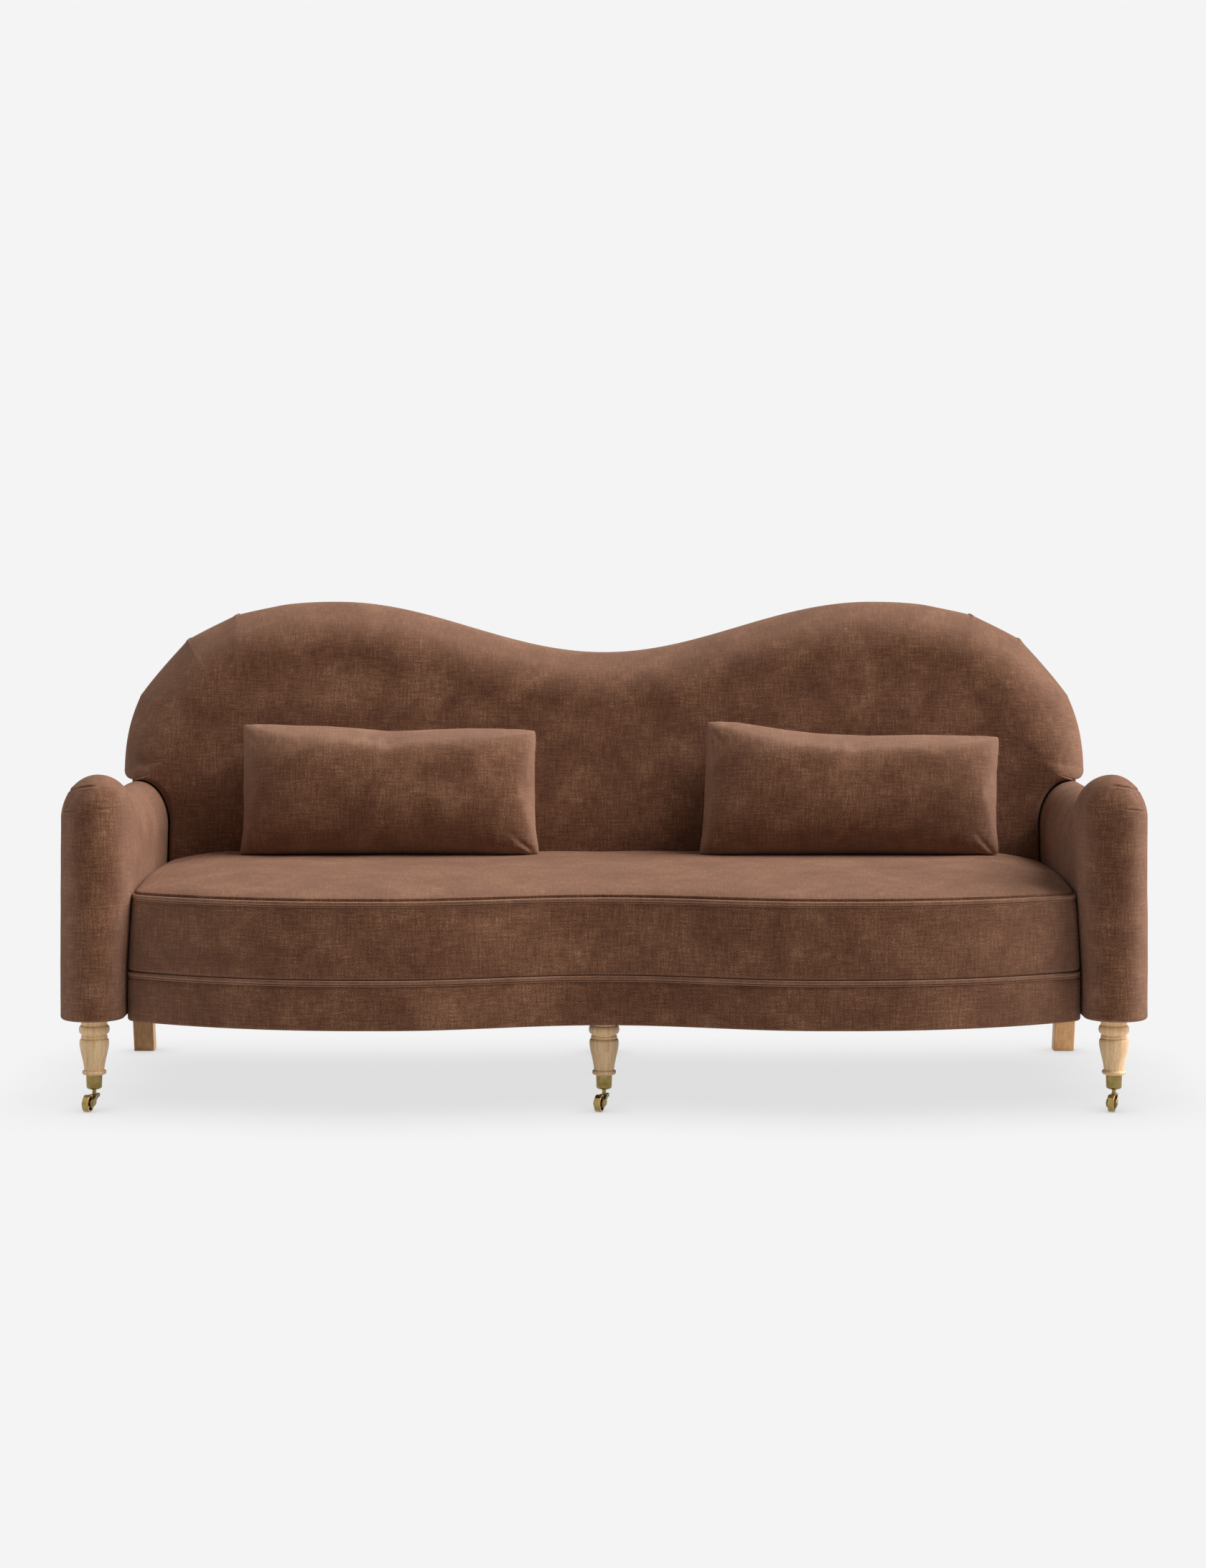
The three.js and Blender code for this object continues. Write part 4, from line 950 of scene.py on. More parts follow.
# The right half of the back's outline from the bottom middle to the top middle: x, z and the
# rounding of the padding there, as its depth and how far in it reaches, and the height of a pleat's
# tooth. It steps round the arm's section, a little way off.
def backHalfOutline():
    shape = backShape
    armTop, roll, gap, corner = armShape["rearTop"], armShape["rearRoll"], shape["gap"], shape["wingCorner"]
    inner = armInner - gap
    shoulder = armTop - roll
    notch, wing, crest, low = shape["notchRound"], shape["wingRound"], shape["crestRound"], hull["cushionLow"]
    foot = np.linspace(0, inner, 70)
    wallZ = np.linspace(low, shoulder, 40)[1:]
    angle = np.linspace(math.pi, math.pi / 2, 26)[1:]
    rollX = armCentre + (hull["armHalf"] + hull["armSwell"] + gap) * np.cos(angle)
    rollX = rollX - armShape["lean"] * np.sin(angle)
    rollZ = shoulder + (roll + gap) * np.sin(angle)
    cornerX, cornerZ = shape["half"] - corner, armTop + gap + corner
    flatX = np.linspace(rollX[-1], cornerX, 6)[1:-1]
    share = np.linspace(0, 1, 12)
    bend = (share - 1) * math.pi / 2
    # The points stand close together round each pleat.
    pleatAt = np.array(shape["pleats"])[:, None] + np.linspace(-0.006, 0.014, 17)
    pleatShare = (pleatAt.ravel() - shape["hump"]) / (shape["half"] - shape["hump"])
    pleatAngle = np.arccos(pleatShare ** (shape["shoulderPower"] / 2))
    climb = np.unique(np.concatenate([np.linspace(0, math.pi / 2, 110)[1:-1], pleatAngle]))
    shoulderX = mixed(shape["hump"], shape["half"], np.cos(climb) ** (2 / shape["shoulderPower"]))
    crestX = np.linspace(shape["hump"], 0, 80)
    x = np.concatenate([foot, inner - swellAt(wallZ), rollX, flatX, cornerX + corner * np.cos(bend),
                        shoulderX, crestX])
    z = np.concatenate([np.full_like(foot, low), wallZ, rollZ, np.full_like(flatX, armTop + gap),
                        cornerZ + corner * np.sin(bend), backTop(shoulderX), backTop(crestX)])
    # Along the wing the rounding grows and then goes over into the crest's.
    below, top = np.full(len(foot) + len(wallZ) + len(rollX), notch), np.full(len(crestX), crest)
    first, last = (wing * part for part in shape["wingRounds"])
    onFlat = np.linspace(0, 1, len(flatX))
    depth = np.concatenate([below, mixed(notch, first, onFlat), mixed(first, last, share),
                            mixed(last, crest, eased(climb / 0.7)), top])
    far = shape["wingReach"]
    first, last = (far * part for part in shape["wingReaches"])
    over = mixed(mixed(last, far, eased(climb / 0.3)), crest, eased((climb - 0.2) / 0.8))
    reach = np.concatenate([below, mixed(notch, first, eased(onFlat)), mixed(first, last, share), over, top])
    tooth = pleatTeeth(x) * (z > armTop + 0.1)
    return stacked(x, z + tooth, depth, reach, tooth)


rightOutline = backHalfOutline()
leftOutline = rightOutline[1:-1][::-1] * (-1, 1, 1, 1, 1)
backOutline = np.concatenate([rightOutline, leftOutline])
spineEnd = backShape["half"] * backShape["spineShare"]
spineX = np.clip(backOutline[:, 0], -spineEnd, spineEnd)


# A ring of the back: the outline moved `inset` towards the level spine, then a share of what is left.
def backRing(inset, share):
    x, z = backOutline[:, 0], backOutline[:, 1] - backOutline[:, 4] * eased(inset / backShape["toothRun"])
    moved = np.minimum(1, inset / np.hypot(spineX - x, backShape["spineHeight"] - z))
    part = moved + (1 - moved) * share
    return mixed(x, spineX, part), mixed(z, backShape["spineHeight"], part)


# The inside back as rings: the flat rear, the sides, the rounded edge as a quarter ellipse, and the
# face, which closes in on the level spine.
def insideBack():
    shape = backShape
    depth, reach = backOutline[:, 2], backOutline[:, 3]
    rings = []
    for share in np.linspace(1, 0, 5):
        x, z = backRing(0.0, share)
        rings.append(stacked(x, rearInside(z), z))
    for share in np.linspace(0, 1, 8)[1:-1]:
        rings.append(stacked(x, mixed(rearInside(z), faceLine(z) + depth, share), z))
    for angle in np.linspace(0, math.pi / 2, 22):
        x, z = backRing(reach * (1 - math.cos(angle)), 0.0)
        rings.append(stacked(x, faceLine(z) + depth * (1 - math.sin(angle)), z))
    # Inside the rounded edge the face swells with the distance from the top, the arms and the seat.
    for share in np.linspace(0, 1, 52)[1:]:
        x, z = backRing(reach, share)
        swelled = eased((humpLine(x) - shape["crestRound"] - z) / shape["crownReach"])
        swelled = swelled * eased((armInner - shape["notchRound"] - np.abs(x)) / shape["crownReach"])
        swelled = swelled * eased((z - shape["crownLow"]) / shape["crownRise"])
        rings.append(stacked(x, faceLine(z) - shape["crown"] * swelled, z))
    points = np.stack(rings)
    closed = ringed(points)
    # The cloth unrolls outwards from the face over the sides, by nine tenths of their depth.
    outward = backOutline[:, :2] - stacked(spineX, shape["spineHeight"])
    outward /= np.linalg.norm(outward, axis=1, keepdims=True)
    sideways = 0.9 * np.maximum(0, closed[..., 1] - faceLine(closed[..., 2]))
    cloth = closed[..., [0, 2]] + sideways[..., None] * np.concatenate([outward, outward[:1]])
    piece = pieceFrom("insideBack", [gridMesh("insideBack", points, cloth, ring=True)])

    def fullness(p):
        out = np.abs(p[:, 0])
        onFace = bell(p[:, 1] - faceLine(p[:, 2]), 0.10)
        uneven = shape["uneven"] * swell(p, 0.42, 33) * onFace * eased((1.0 - out) / 0.2)
        # A pleat is a fold that runs over the rounded edge: full on one side and sunk on the other.
        pleats = np.zeros(len(p))
        for place in shape["pleats"]:
            edgeZ = float(humpLine(place))
            aimX, aimZ = place - 0.55, edgeZ - shape["spineHeight"]
            size = math.hypot(aimX, aimZ)
            dx, dz = out - place, p[:, 2] - edgeZ
            across = (dx * aimZ - dz * aimX) / size
            inward = -(dx * aimX + dz * aimZ) / size
            fade = eased((shape["pleatLength"] - inward) / shape["pleatLength"])
            fade = fade * eased((inward + 0.03) / 0.02) * (p[:, 2] > 0.66)
            fold = np.where(across > 0, bell(across, 0.014), -0.8 * bell(across, 0.005))
            pleats += shape["pleatDepth"] * fade * fold
        return uneven + pleats

    pushOut(piece, fullness)
    dress(piece, cover, "root", "chenille", "inside_back")


insideBack()


outsideShape = {
    "thickness": 0.010,
    "edge": 0.004,
    "middleHeight": 0.60,  # the cloth's rings close in on a level line at this height
    "middleHalf": 0.70,
    "fullness": 0.0022,
    "uneven": 0.0008,
    "sideEnd": 1.075,  # where the fullness ends at the sides and at the bottom
    "lowEnd": 0.19,
    "fade": 0.12,
}


# The outside back: a flat cloth panel drawn over the rear, with a rounded edge and a slight swell.
def outsideBack():
    shape, half, shoulder = outsideShape, backShape["half"], backShape["shoulder"]
    low = hull["underArm"] + hull["room"]
    upper = backOutline[backOutline[:, 1] > shoulder][:, :2]
    right = stacked(half, np.linspace(low, shoulder, 50)[:-1])
    bottom = stacked(np.linspace(-half, half, 160)[1:-1], low)
    outline = np.concatenate([right, upper, right[::-1] * (-1, 1), bottom])
    thick, edge = shape["thickness"], shape["edge"]
    aimX, aimZ = np.clip(outline[:, 0], -shape["middleHalf"], shape["middleHalf"]), shape["middleHeight"]
    # Each ring is its share of the way to the middle line, how far in it lies, and how deep.
    profile = [(1.0, 0.0, thick), (0.5, 0.0, thick), (0.0, edge, thick), (0.0, 0.0, thick - edge),
               (0.0, 0.0, edge)]
    profile += [(0.0, edge * (1 - math.cos(angle)), edge * (1 - math.sin(angle)))
                for angle in np.linspace(0, math.pi / 2, 6)]
    profile += [(share, edge, 0.0) for share in np.linspace(0, 1, 30)[1:]]
    rings = []
    gap = np.hypot(aimX - outline[:, 0], aimZ - outline[:, 1])
    for share, inset, depth in profile:
        moved = np.minimum(1, inset / gap)
        part = moved + (1 - moved) * share
        x, z = mixed(outline[:, 0], aimX, part), mixed(outline[:, 1], aimZ, part)
        rings.append(stacked(x, rearFace(z) - depth, z))
    points = np.stack(rings)
    cloth = ringed(points)[..., [0, 2]]
    piece = pieceFrom("outsideBack", [gridMesh("outsideBack", points, cloth, ring=True)])

    # It swells a little inside its sewn edge.
    def fullness(p):
        amount = shape["fullness"] + shape["uneven"] * swell(p, 0.5, 12)
        for room in (shape["sideEnd"] - np.abs(p[:, 0]), p[:, 2] - shape["lowEnd"],
                     humpLine(p[:, 0]) - p[:, 2]):
            amount = amount * eased(room / shape["fade"])
        return amount * (p[:, 1] > rearFace(p[:, 2]) - 0.001)

    pushOut(piece, fullness)
    dress(piece, cover, "root", "chenille", "outside_back")


outsideBack()
print("back padded")

pillowShape = {
    "width": 0.648,
    "height": 0.296,
    "thickness": 0.150,
    "sidePower": 4.4,  # higher is plumper close to that seam
    "endPower": 2.6,
    "rise": 0.44,
    "cornerIn": 0.0045,
    "cornerPower": 14,
    "drawIn": 0.004,
    "lean": 12,
    "pressure": 4.0,
    "frames": 20,
    "cap": 0.012,
    "inPlane": 0.3,  # share of the swelling that is kept along the seam's plane
    "settle": 0.009,  # how far it sinks before the seat flattens its underside
    "earReach": 0.0045,  # how far a lower corner stands out
}
# What sets the two pillows apart: where they stand, how far their tops lean over, how high the top
# seam runs from end to end, and their creases, each from one point of the face to another.
pillows = {
    "left": {
        "place": -0.4745, "shear": -0.013, "seed": 3,
        "topSeam": ((-1, 0.7708), (-0.70, 0.7676), (-0.43, 0.7664), (-0.22, 0.7623), (0, 0.7550),
                    (0.14, 0.7564), (0.54, 0.7609), (1, 0.7563)),
        "creases": ((0.310, -0.134, 0.256, -0.092, 0.0034, 0.008),
                    (0.300, -0.124, 0.240, -0.116, 0.0018, 0.007),
                    (-0.300, -0.118, -0.262, -0.132, 0.0020, 0.007),
                    (-0.312, 0.128, -0.285, 0.085, 0.0016, 0.010)),
    },
    "right": {
        "place": 0.5445, "shear": 0.047, "seed": 7,
        "topSeam": ((-1, 0.7776), (-0.80, 0.7740), (-0.62, 0.7664), (-0.46, 0.7583), (-0.25, 0.7516),
                    (0.10, 0.7463), (0.45, 0.7488), (0.70, 0.7463), (1, 0.7452)),
        "creases": ((0.310, -0.136, 0.262, -0.088, 0.0032, 0.008),
                    (-0.300, -0.112, -0.258, -0.098, 0.0022, 0.008),
                    (-0.296, -0.128, -0.235, -0.134, 0.0020, 0.007),
                    (-0.312, 0.128, -0.283, 0.088, 0.0018, 0.010)),
    },
}


# Swells a closed cloth with Blender's Cloth, air inside and no gravity, and moves no point further
# than `cap`. Only a share of the way it went along the plane of the seam is kept.
def inflate(piece, pressure, frames, cap, inPlane):
    scene = bpy.context.scene
    start = rowsOf(piece.data.vertices)
    soft = piece.modifiers.new("Cloth", "CLOTH")
    soft.settings.use_pressure = True
    soft.settings.uniform_pressure_force = pressure
    soft.settings.effector_weights.gravity = 0
    soft.settings.quality = 5
    soft.point_cache.frame_start = 1
    soft.point_cache.frame_end = frames
    for moment in range(1, frames + 1):
        scene.frame_set(moment)
    swollen = piece.evaluated_get(bpy.context.evaluated_depsgraph_get())
    moved = rowsOf(swollen.data.vertices) - start
    piece.modifiers.remove(soft)
    scene.frame_set(1)
    far = np.linalg.norm(moved, axis=1, keepdims=True)
    moved = moved * np.minimum(1, cap / np.maximum(far, 1e-9))
    setPoints(piece.data, start + moved * (inPlane, 1, inPlane))


# A pillow of two crowned faces that meet in a seam. Its outline draws in between blunt corners, and
# a face rises from the seam as a power of one minus a power of the distance from the middle.
def pillow(side):
    shape, own = pillowShape, pillows[side]
    across, up = 130, 66
    u = np.sin(np.linspace(-1, 1, across) * math.pi / 2)[None, :]
    v = np.sin(np.linspace(-1, 1, up) * math.pi / 2)[:, None]
    rise = ((1 - np.abs(u) ** shape["sidePower"]) * (1 - np.abs(v) ** shape["endPower"])) ** shape["rise"]
    corner = shape["cornerIn"] * np.abs(u * v) ** shape["cornerPower"]
    x = u * (shape["width"] / 2 - shape["drawIn"] * (1 - v * v) - corner)
    z = v * (shape["height"] / 2 - shape["drawIn"] * (1 - u * u) - corner)
    meshes = []
    for face in (-1, 1):
        y = face * shape["thickness"] / 2 * rise
        points = stacked(x, y, z)
        meshes.append(gridMesh("pillowFace", points, points[..., [0, 2]] + face * 3))
    piece = pieceFrom(side + "Pillow", meshes)
    inflate(piece, shape["pressure"], shape["frames"], shape["cap"], shape["inPlane"])
    p = rowsOf(piece.data.vertices)
    for axis, size in ((0, shape["width"]), (1, shape["thickness"]), (2, shape["height"])):
        p[:, axis] *= size / np.ptp(p[:, axis])
        p[:, axis] -= (p[:, axis].min() + p[:, axis].max()) / 2
    setPoints(piece.data, p)

    # Creases and a slight unevenness on both faces.
    def folds(p):
        amount = 0.0016 * swell(p, 0.30, own["seed"])
        for x0, z0, x1, z1, depth, width in own["creases"]:
            way = np.array([x1 - x0, z1 - z0])
            long = np.linalg.norm(way)
            dx, dz = p[:, 0] - x0, p[:, 2] - z0
            t = (dx * way[0] + dz * way[1]) / long ** 2
            aside = (dx * way[1] - dz * way[0]) / long * math.copysign(1, way[0] * way[1])
            faded = eased(t / 0.15 + 0.6) * eased((1 - t) / 0.6) * (p[:, 1] < 0)
            amount += faded * depth * (0.7 * bell(aside - width, width) - bell(aside, width * 0.5))
        return amount

    pushOut(piece, folds)
    p = rowsOf(piece.data.vertices)
    lowest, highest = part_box(side + "_pillow")
    lean = -math.radians(shape["lean"])
    half = shape["height"] / 2
    middle = lowest[2] + half * math.cos(lean)
    # The upper part follows the height of the top seam, and the lower corners stand out.
    reach = p[:, 0] / (shape["width"] / 2)
    seam = np.interp(reach, *np.array(own["topSeam"]).T)
    rest = half - shape["drawIn"] * (1 - reach ** 2)
    upper = np.clip((p[:, 2] + half) / (2 * half), 0, 1)
    p[:, 0] += own["shear"] * p[:, 2] + np.sign(reach) * shape["earReach"] * bell(p[:, 2] + half, 0.045) \
        * eased((np.abs(reach) - 0.85) / 0.15)
    p[:, 2] += ((seam - middle) / math.cos(lean) - rest) * upper ** 2
    y, z = p[:, 1].copy(), p[:, 2].copy()
    p[:, 1] = y * math.cos(lean) - z * math.sin(lean) + (lowest[1] + highest[1]) / 2
    p[:, 2] = y * math.sin(lean) + z * math.cos(lean)
    p[:, 0] += own["place"]
    # It sinks a little, and the seat flattens what would be under it.
    above = (p[:, 2] - p[:, 2].min() - shape["settle"]) / 0.003
    p[:, 2] = lowest[2] + 0.003 * (np.maximum(above, 0) + np.log1p(np.exp(-np.abs(above))))
    setPoints(piece.data, p)
    # The cover is the paler copy with more painted sheen.
    dress(piece, paleSheenCover, side + "_pillow", "chenille", side + "_pillow")


for side in pillows:
    pillow(side)
print("pillows filled")

legShape = {
    "places": {"left": -1.049, "centre": 0.0, "right": 1.049},
    "spigot": (0.0142, 0.0545),
    "footBead": (0.0200, 0.0249, 0.0716, 0.0812),
    # The vase, as radius and height from its ankle to its lip.
    "vase": ((0.0205, 0.0815), (0.0214, 0.0890), (0.0230, 0.0980), (0.0252, 0.1080), (0.0275, 0.1180),
             (0.0292, 0.1270), (0.0301, 0.1345), (0.0302, 0.1392), (0.0294, 0.1430), (0.0273, 0.1456)),
    "groove": 0.0255,
    "ring": (0.0258, 0.0271, 0.1469, 0.1518),
    "bead": (0.0264, 0.0315, 0.1555, 0.1732),
    "neck": 0.0269,
    "sides": 72,
}


# A turned front leg: a foot bead, a vase that narrows to its ankle, a ring, a bead and a plain neck.
def frontLeg(side):
    shape = legShape
    spigot, spigotLow = shape["spigot"]
    profile = np.concatenate([
        [(0, spigotLow), (spigot, spigotLow), (spigot, shape["footBead"][2])],
        halfRound(*shape["footBead"]),
        smoothThrough(shape["vase"], 44),
        [(shape["groove"], 0.1458), (shape["groove"], 0.1466)],
        halfRound(*shape["ring"], count=9),
        [(shape["groove"], 0.1521), (shape["groove"], 0.1550)],
        halfRound(*shape["bead"], count=17),
        [(shape["neck"], 0.1735), (shape["neck"], hull["legHigh"]), (0, hull["legHigh"])],
    ])
    points = turnedPoints(crisp(profile), shape["sides"])
    points += (shape["places"][side], hull["legLine"], 0)
    piece = pieceFrom(side + "FrontLeg", [gridMesh("frontLeg", points, ring=True)])
    dress(piece, beech, "root", "beech", side + "_front_leg")


for side in legShape["places"]:
    frontLeg(side)
print("front legs turned")

castorShape = {
    "turns": {"left": 13.5, "centre": 17, "right": 16.6},  # degrees, as they stand
    "cupHigh": 0.0714,
    "cupLow": 0.041,
    "cupFloor": 0.046,
    "cupRadius": 0.0166,
    "cupFoot": 0.0158,
    "cupWall": 0.0016,
    "pintle": 0.0042,
    "pintleLow": 0.0275,
    "pintleHead": 0.007,
    "pintleCap": 0.0025,
    "room": 0.0003,
    "yokeTop": 0.0315,
    "yokeUnder": 0.0235,
    "yokeTail": 0.015,
    "yokeBoss": 0.007,
    "eye": 0.0085,
    "eyeTurn": 36,  # degrees up from level where the horn meets the eye
    "cheek": 0.0092,  # from the wheel's middle to the middle of a cheek
    "cheekHalf": 0.0013,
    "trail": 0.033,
    "wheel": 0.0175,
    "wheelHalf": 0.0065,
    "wheelEdge": 0.0008,
    "wheelRim": 0.003,
    "wheelWeb": 0.0025,
    "hub": 0.006,
    "axle": 0.0025,
    "axleHead": 0.0042,
    "sides": 64,
}


# Castor pieces are drawn with the pintle on the upright axis and the wheel in front, then turned as
# the castor stands and carried to its leg.
def castorPiece(side, name, grids, material, body, node, turns=True):
    angle = math.radians(castorShape["turns"][side]) if turns else 0.0
    meshes = []
    for grid in grids:
        x, y, z = np.moveaxis(grid, -1, 0)
        points = stacked(x * math.cos(angle) + y * math.sin(angle) + legShape["places"][side],
                         y * math.cos(angle) - x * math.sin(angle) + hull["legLine"], z)
        meshes.append(gridMesh(name, points, ring=True))
    piece = pieceFrom(side + name, meshes, 0.000005)
    return dress(piece, material, body, "brass", node)


# A profile of [radius, place along the axle] turned about the axle.
def onAxle(profile):
    shape = castorShape
    x, y, z = np.moveaxis(turnedPoints(crisp(profile), shape["sides"]), -1, 0)
    return stacked(z, x - shape["trail"], shape["wheel"] + y)


# The height over each place of a curve from one point to another that leaves and arrives towards a
# third.
def heightOn(start, towards, end, places):
    curve = bent(np.array(start), np.array(towards), np.array(end), np.linspace(0, 1, 60)[:, None])
    order = np.argsort(curve[:, 0])
    return np.interp(places, curve[order, 0], curve[order, 1])


# One half of a yoke: a bar behind the pintle that swings out into a cheek and sweeps down to the eye.
# Each section is a rounded oblong between a lower and an upper curve.
def yokeHalf(hand):
    shape = castorShape
    trail, eye, wheel, pintle = shape["trail"], shape["eye"], shape["wheel"], shape["pintle"]
    top, under, tail, boss = shape["yokeTop"], shape["yokeUnder"], shape["yokeTail"], shape["yokeBoss"]
    turn = math.radians(shape["eyeTurn"])
    eyeY, eyeZ = eye * math.cos(turn) - trail, wheel + eye * math.sin(turn)
    around = np.linspace(math.pi / 2, 0.12, 26)
    y = np.concatenate([np.linspace(tail, tail - 0.001, 5), np.linspace(tail - 0.001, -trail, 90)[1:],
                        -trail - eye * np.cos(around)[1:]])
    circle = np.sqrt(np.maximum(0, eye ** 2 - (y + trail) ** 2))
    high = np.where(y > -pintle, top, heightOn((-pintle, top), (-trail / 2, top), (eyeY, eyeZ), y))
    high = np.where(y < eyeY, wheel + circle, high)
    low = heightOn((boss, under), (-trail / 2, wheel - eye), (-trail, wheel - eye), y)
    low = np.where(y > boss, under, low)
    low = np.where(y < -trail, wheel - circle, low)
    spread = eased(-y / (trail / 2))
    across = mixed(boss / 2 - shape["room"], shape["cheek"], spread)
    half = mixed(boss / 2 + shape["room"], shape["cheekHalf"], spread)
    square = np.clip((tail - y) / 0.001, 0, 1) * 0.12 + 0.88
    wide, tall = oblong(np.linspace(0, 2 * math.pi, 40, endpoint=False), 0.4, 0.4)
    return capped(stacked(hand * across[:, None] + (half * square)[:, None] * wide, y[:, None],
                          ((high + low) / 2)[:, None] + ((high - low) / 2 * square)[:, None] * tall))

# A castor: a brass cup, a yoke with its pintle, a wheel and a riveted axle.
def castor(side):
    shape = castorShape
    low, foot, cupHigh, cupFloor = shape["cupLow"], shape["cupFoot"], shape["cupHigh"], shape["cupFloor"]
    bowl = np.linspace(0.05, math.pi / 2, 14)
    room, cupRadius = shape["pintle"] + shape["room"], shape["cupRadius"]
    inner = cupRadius - shape["cupWall"]
    cup = np.concatenate([
        [(room, low)],
        stacked(mixed(room, foot, np.sin(bowl)), low + 0.0052 * (1 - np.cos(bowl))),
        [(cupRadius, cupHigh - 0.0004), (cupRadius - 0.0004, cupHigh), (inner, cupHigh),
         (inner, cupFloor), (room, cupFloor), (room, low)],
    ])
    castorPiece(side, "CastorCup", [turnedPoints(crisp(cup), shape["sides"])], brass, "root",
                side + "_castor_cup", turns=False)
    head, pintleLow, cap = cupFloor + shape["room"], shape["pintleLow"], shape["pintleHead"]
    top = head + shape["pintleCap"]
    pintle = [(0, pintleLow), (shape["pintle"], pintleLow), (shape["pintle"], head), (cap, head),
              (cap, top), (0, top)]
    castorPiece(side, "CastorYoke", [yokeHalf(-1), yokeHalf(1), turnedPoints(crisp(pintle), 48)], brass,
                side + "_castor", side + "_castor_yoke")
    half, edge, rim, web = shape["wheelHalf"], shape["wheelEdge"], shape["wheelRim"], shape["wheelWeb"]
    rim, hub = shape["wheel"] - rim, shape["hub"]
    corner = np.linspace(0, math.pi / 2, 6)
    tread = stacked(shape["wheel"] - edge * (1 - np.sin(corner)), edge * (1 - np.cos(corner)) - half)
    outer = np.concatenate([
        [(shape["axle"] + shape["room"], -half), (hub, -half), (hub, -web), (rim, -web), (rim, -half)],
        tread])
    tyre = np.concatenate([outer, outer[::-1] * (1, -1), outer[:1]])
    wheel = castorPiece(side, "CastorWheel", [onAxle(tyre)], rubbedBrass, side + "_wheel",
                        side + "_castor_wheel")
    reach = shape["cheek"] + shape["cheekHalf"] + 0.0002
    dome = np.linspace(0, math.pi / 2, 9)
    axle = np.concatenate([
        stacked(shape["axleHead"] * np.sin(dome), -reach - 0.0014 * np.cos(dome)),
        [(shape["axleHead"], -reach), (shape["axle"], -reach)]])
    castorPiece(side, "CastorAxle", [onAxle(np.concatenate([axle, axle[::-1] * (1, -1)]))], brass,
                side + "_castor", side + "_castor_axle")
    # The faces of the rim, beside the tread, are worn to a redder metal.
    wheel.data.materials.append(copperyBrass)
    angle = math.radians(shape["turns"][side])
    centres = rowsOf(wheel.data.polygons, "center") - (legShape["places"][side], hull["legLine"], 0)
    aside = np.abs(centres[:, 0] * math.cos(angle) - centres[:, 1] * math.sin(angle))
    wheel.data.polygons.foreach_set("material_index", (aside > half - edge / 2).astype(np.int32))


for side in castorShape["turns"]:
    castor(side)
print("castors made")

webShape = {
    "low": 0.2713,
    "thickness": 0.0009,
    "weave": 0.0005,  # how far a strap rises or dips where it crosses another
    "width": 0.050,
    "count": 9,
    "crossCount": 3,
    "railWidth": 0.022,
    "endShare": 0.25,
    "borderRoom": 0.0133,
}


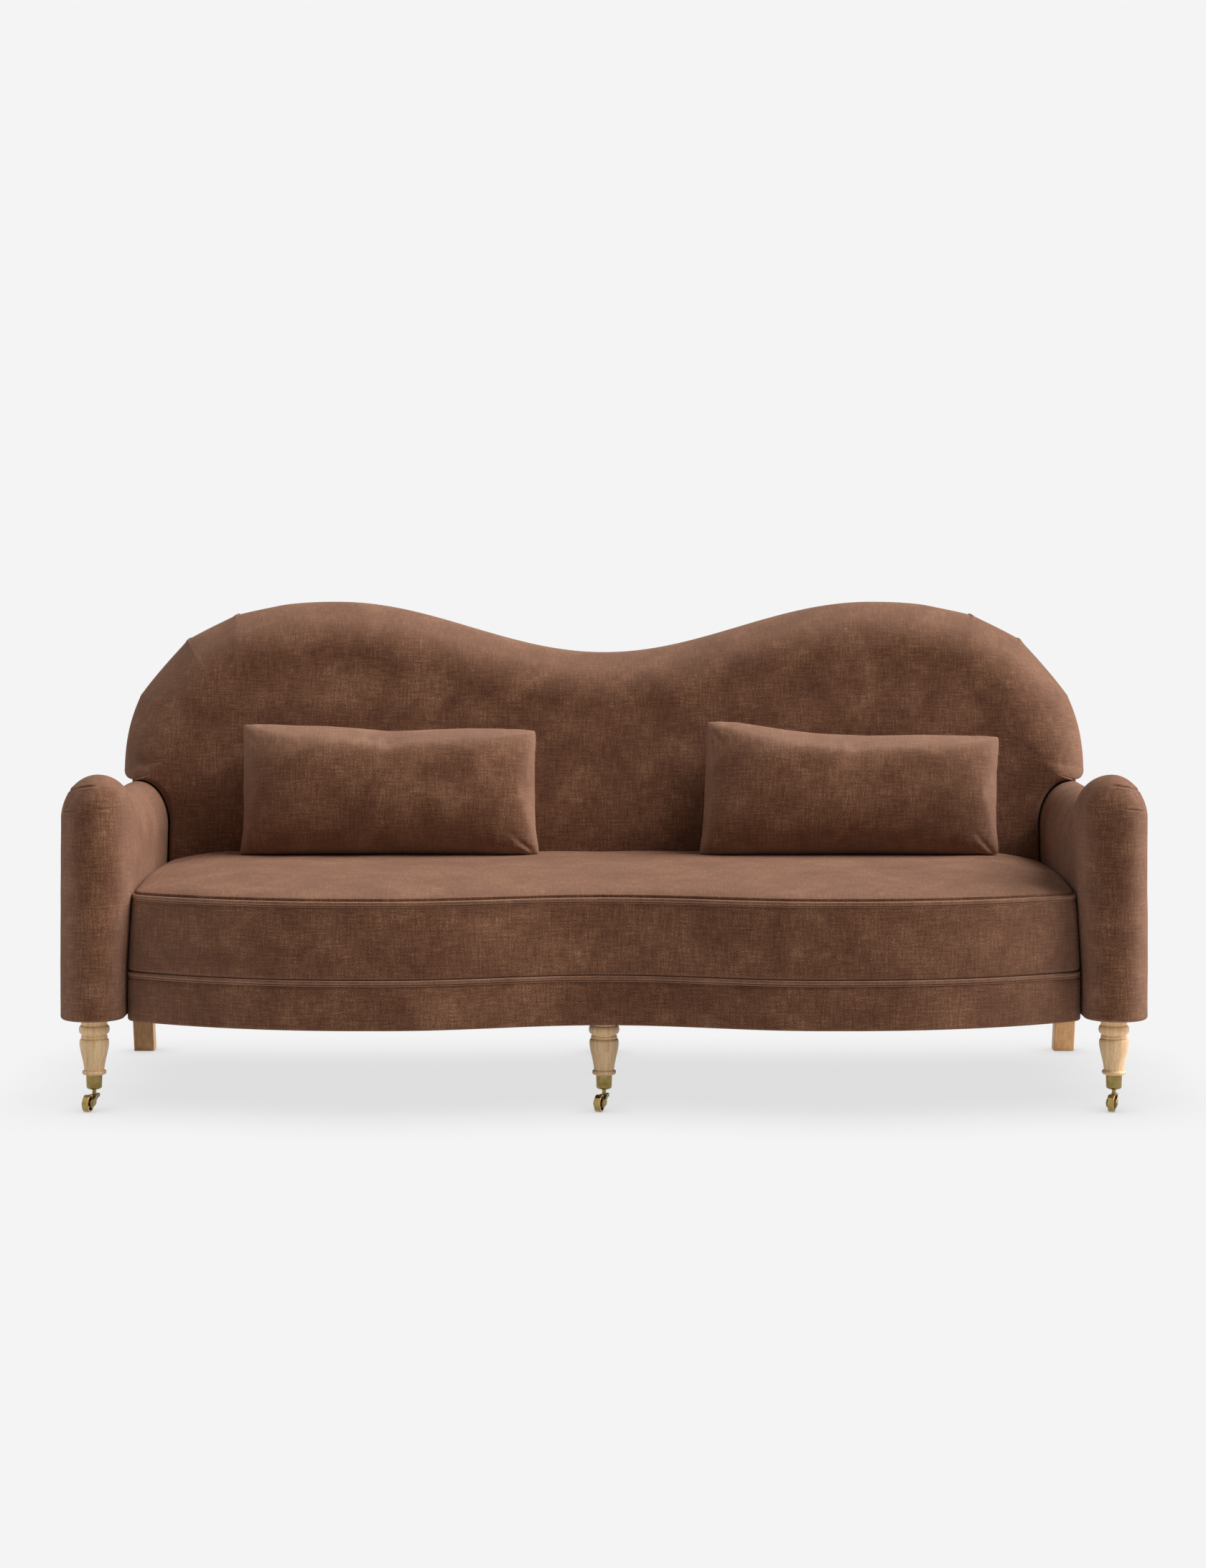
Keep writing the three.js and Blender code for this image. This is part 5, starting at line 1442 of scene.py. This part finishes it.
# Jute webbing, straps that pass over and under each other. A strap is a thin oblong section carried
# along its line, and rises and dips as a cosine of the crossings it passes.
def seatWebbing():
    shape = webShape
    outer = armInner - hull["room"]
    end = shape["railWidth"] * shape["endShare"]
    rear = armLength + hull["armAxis"] - shape["railWidth"]
    front = float(frontEdge(shape["borderRoom"], 3, 4, ease=0.004)[1][0, -1])
    pitch = 2 * (outer - shape["width"]) / shape["count"]
    crossPitch = (rear - front) / (shape["crossCount"] + 1)
    wide, tall = oblong(np.linspace(0, 2 * math.pi, 16, endpoint=False) + math.pi / 16, 0.2, 0.5)
    wide, tall = wide * shape["width"] / 2, tall * shape["thickness"] / 2
    # Each strap is where it starts and ends, and whether it first dips or rises.
    straps = []
    for k in range(shape["count"]):
        x = (k - (shape["count"] - 1) / 2) * pitch
        edges = seatFront(x + np.array([-0.5, 0.5]) * shape["width"])
        straps.append(((x, float(np.max(edges)) + shape["borderRoom"] + end), (x, rear + end), -1))
    for k in range(1, shape["crossCount"] + 1):
        y = front + k * crossPitch
        straps.append(((end - outer, y), (outer - end, y), 1))
    meshes = []
    for number, (first, last, over) in enumerate(straps):
        spine = mixed(np.array(first), np.array(last), np.linspace(0, 1, 61)[:, None])
        if over < 0:
            phase = (spine[:, 1] - front) / crossPitch + number
            side, goes = np.array([1, 0]), 1
        else:
            phase = spine[:, 0] / pitch + number + 1
            side, goes = np.array([0, 1]), 0
        z = shape["low"] + 0.001 + shape["weave"] * over * np.cos(math.pi * phase)
        points = np.zeros((len(spine), len(wide), 3))
        points[..., :2] = spine[:, None, :] + wide[None, :, None] * side
        points[..., 2] = z[:, None] + tall
        points = capped(points)
        meshes.append(gridMesh("strap", points, ringed(stacked(points[..., goes], wide)), ring=True))
    piece = pieceFrom("seatWebbing", meshes)
    dress(piece, jute, "root", "webbing", "seat_webbing")


seatWebbing()

dustShape = {
    "low": 0.1855,
    "sag": 0.0012,
    "ripple": 0.0004,
    "thickness": 0.0006,
    "frontRoom": 0.0140,
    "sideRoom": 0.004,
    "rows": 80,
    "columns": 170,
}


# The dust cover: black cambric tacked under the seat frame. Its rows go from the front edge to the
# rear, and it hangs a little as a sine each way between the rails.
def dustCover():
    shape = dustShape
    half = armInner - shape["sideRoom"]
    x, y = frontEdge(shape["frontRoom"], shape["columns"], 6, ease=shape["sideRoom"])
    t = np.linspace(0, 1, shape["rows"])[:, None]
    rear = armLength + hull["armAxis"]
    gridX = mixed(x, x / x[0, -1] * half, t)
    gridY = mixed(y, rear, t)
    sag = shape["sag"] * np.sin(math.pi * t) * np.abs(np.sin(math.pi * gridX / armInner))
    ripple = shape["ripple"] * swell(stacked(gridX, gridY, 0), 0.3, 17) * np.sin(math.pi * t)
    points = stacked(gridX, gridY, shape["low"] - sag + ripple)
    piece = pieceFrom("dustCover", [gridMesh("dustCover", points, points[..., :2])])
    solid = piece.modifiers.new("thickness", "SOLIDIFY")
    solid.thickness = shape["thickness"]
    dress(piece, cambric, "root", "dust_cloth", "dust_cover")


dustCover()
print("webbing and dust cover made")

# The timber, bolts and back legs keep the frame's shapes and get their own materials.
stays = {
    # The back legs take the browner beech that is darkened as painted shade.
    "beech": (shadedBrownBeech, ("back_leg",)),
    "timber": (poplar, ("arm_board", "arm_panel", "rail", "corner_block", "back_board")),
    "steel": (steel, ("bolt",)),
}
for material, endings in stays.values():
    for name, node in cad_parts.items():
        if name.endswith(endings):
            node.data.materials.clear()
            node.data.materials.append(material)
print("frame nodes finished")
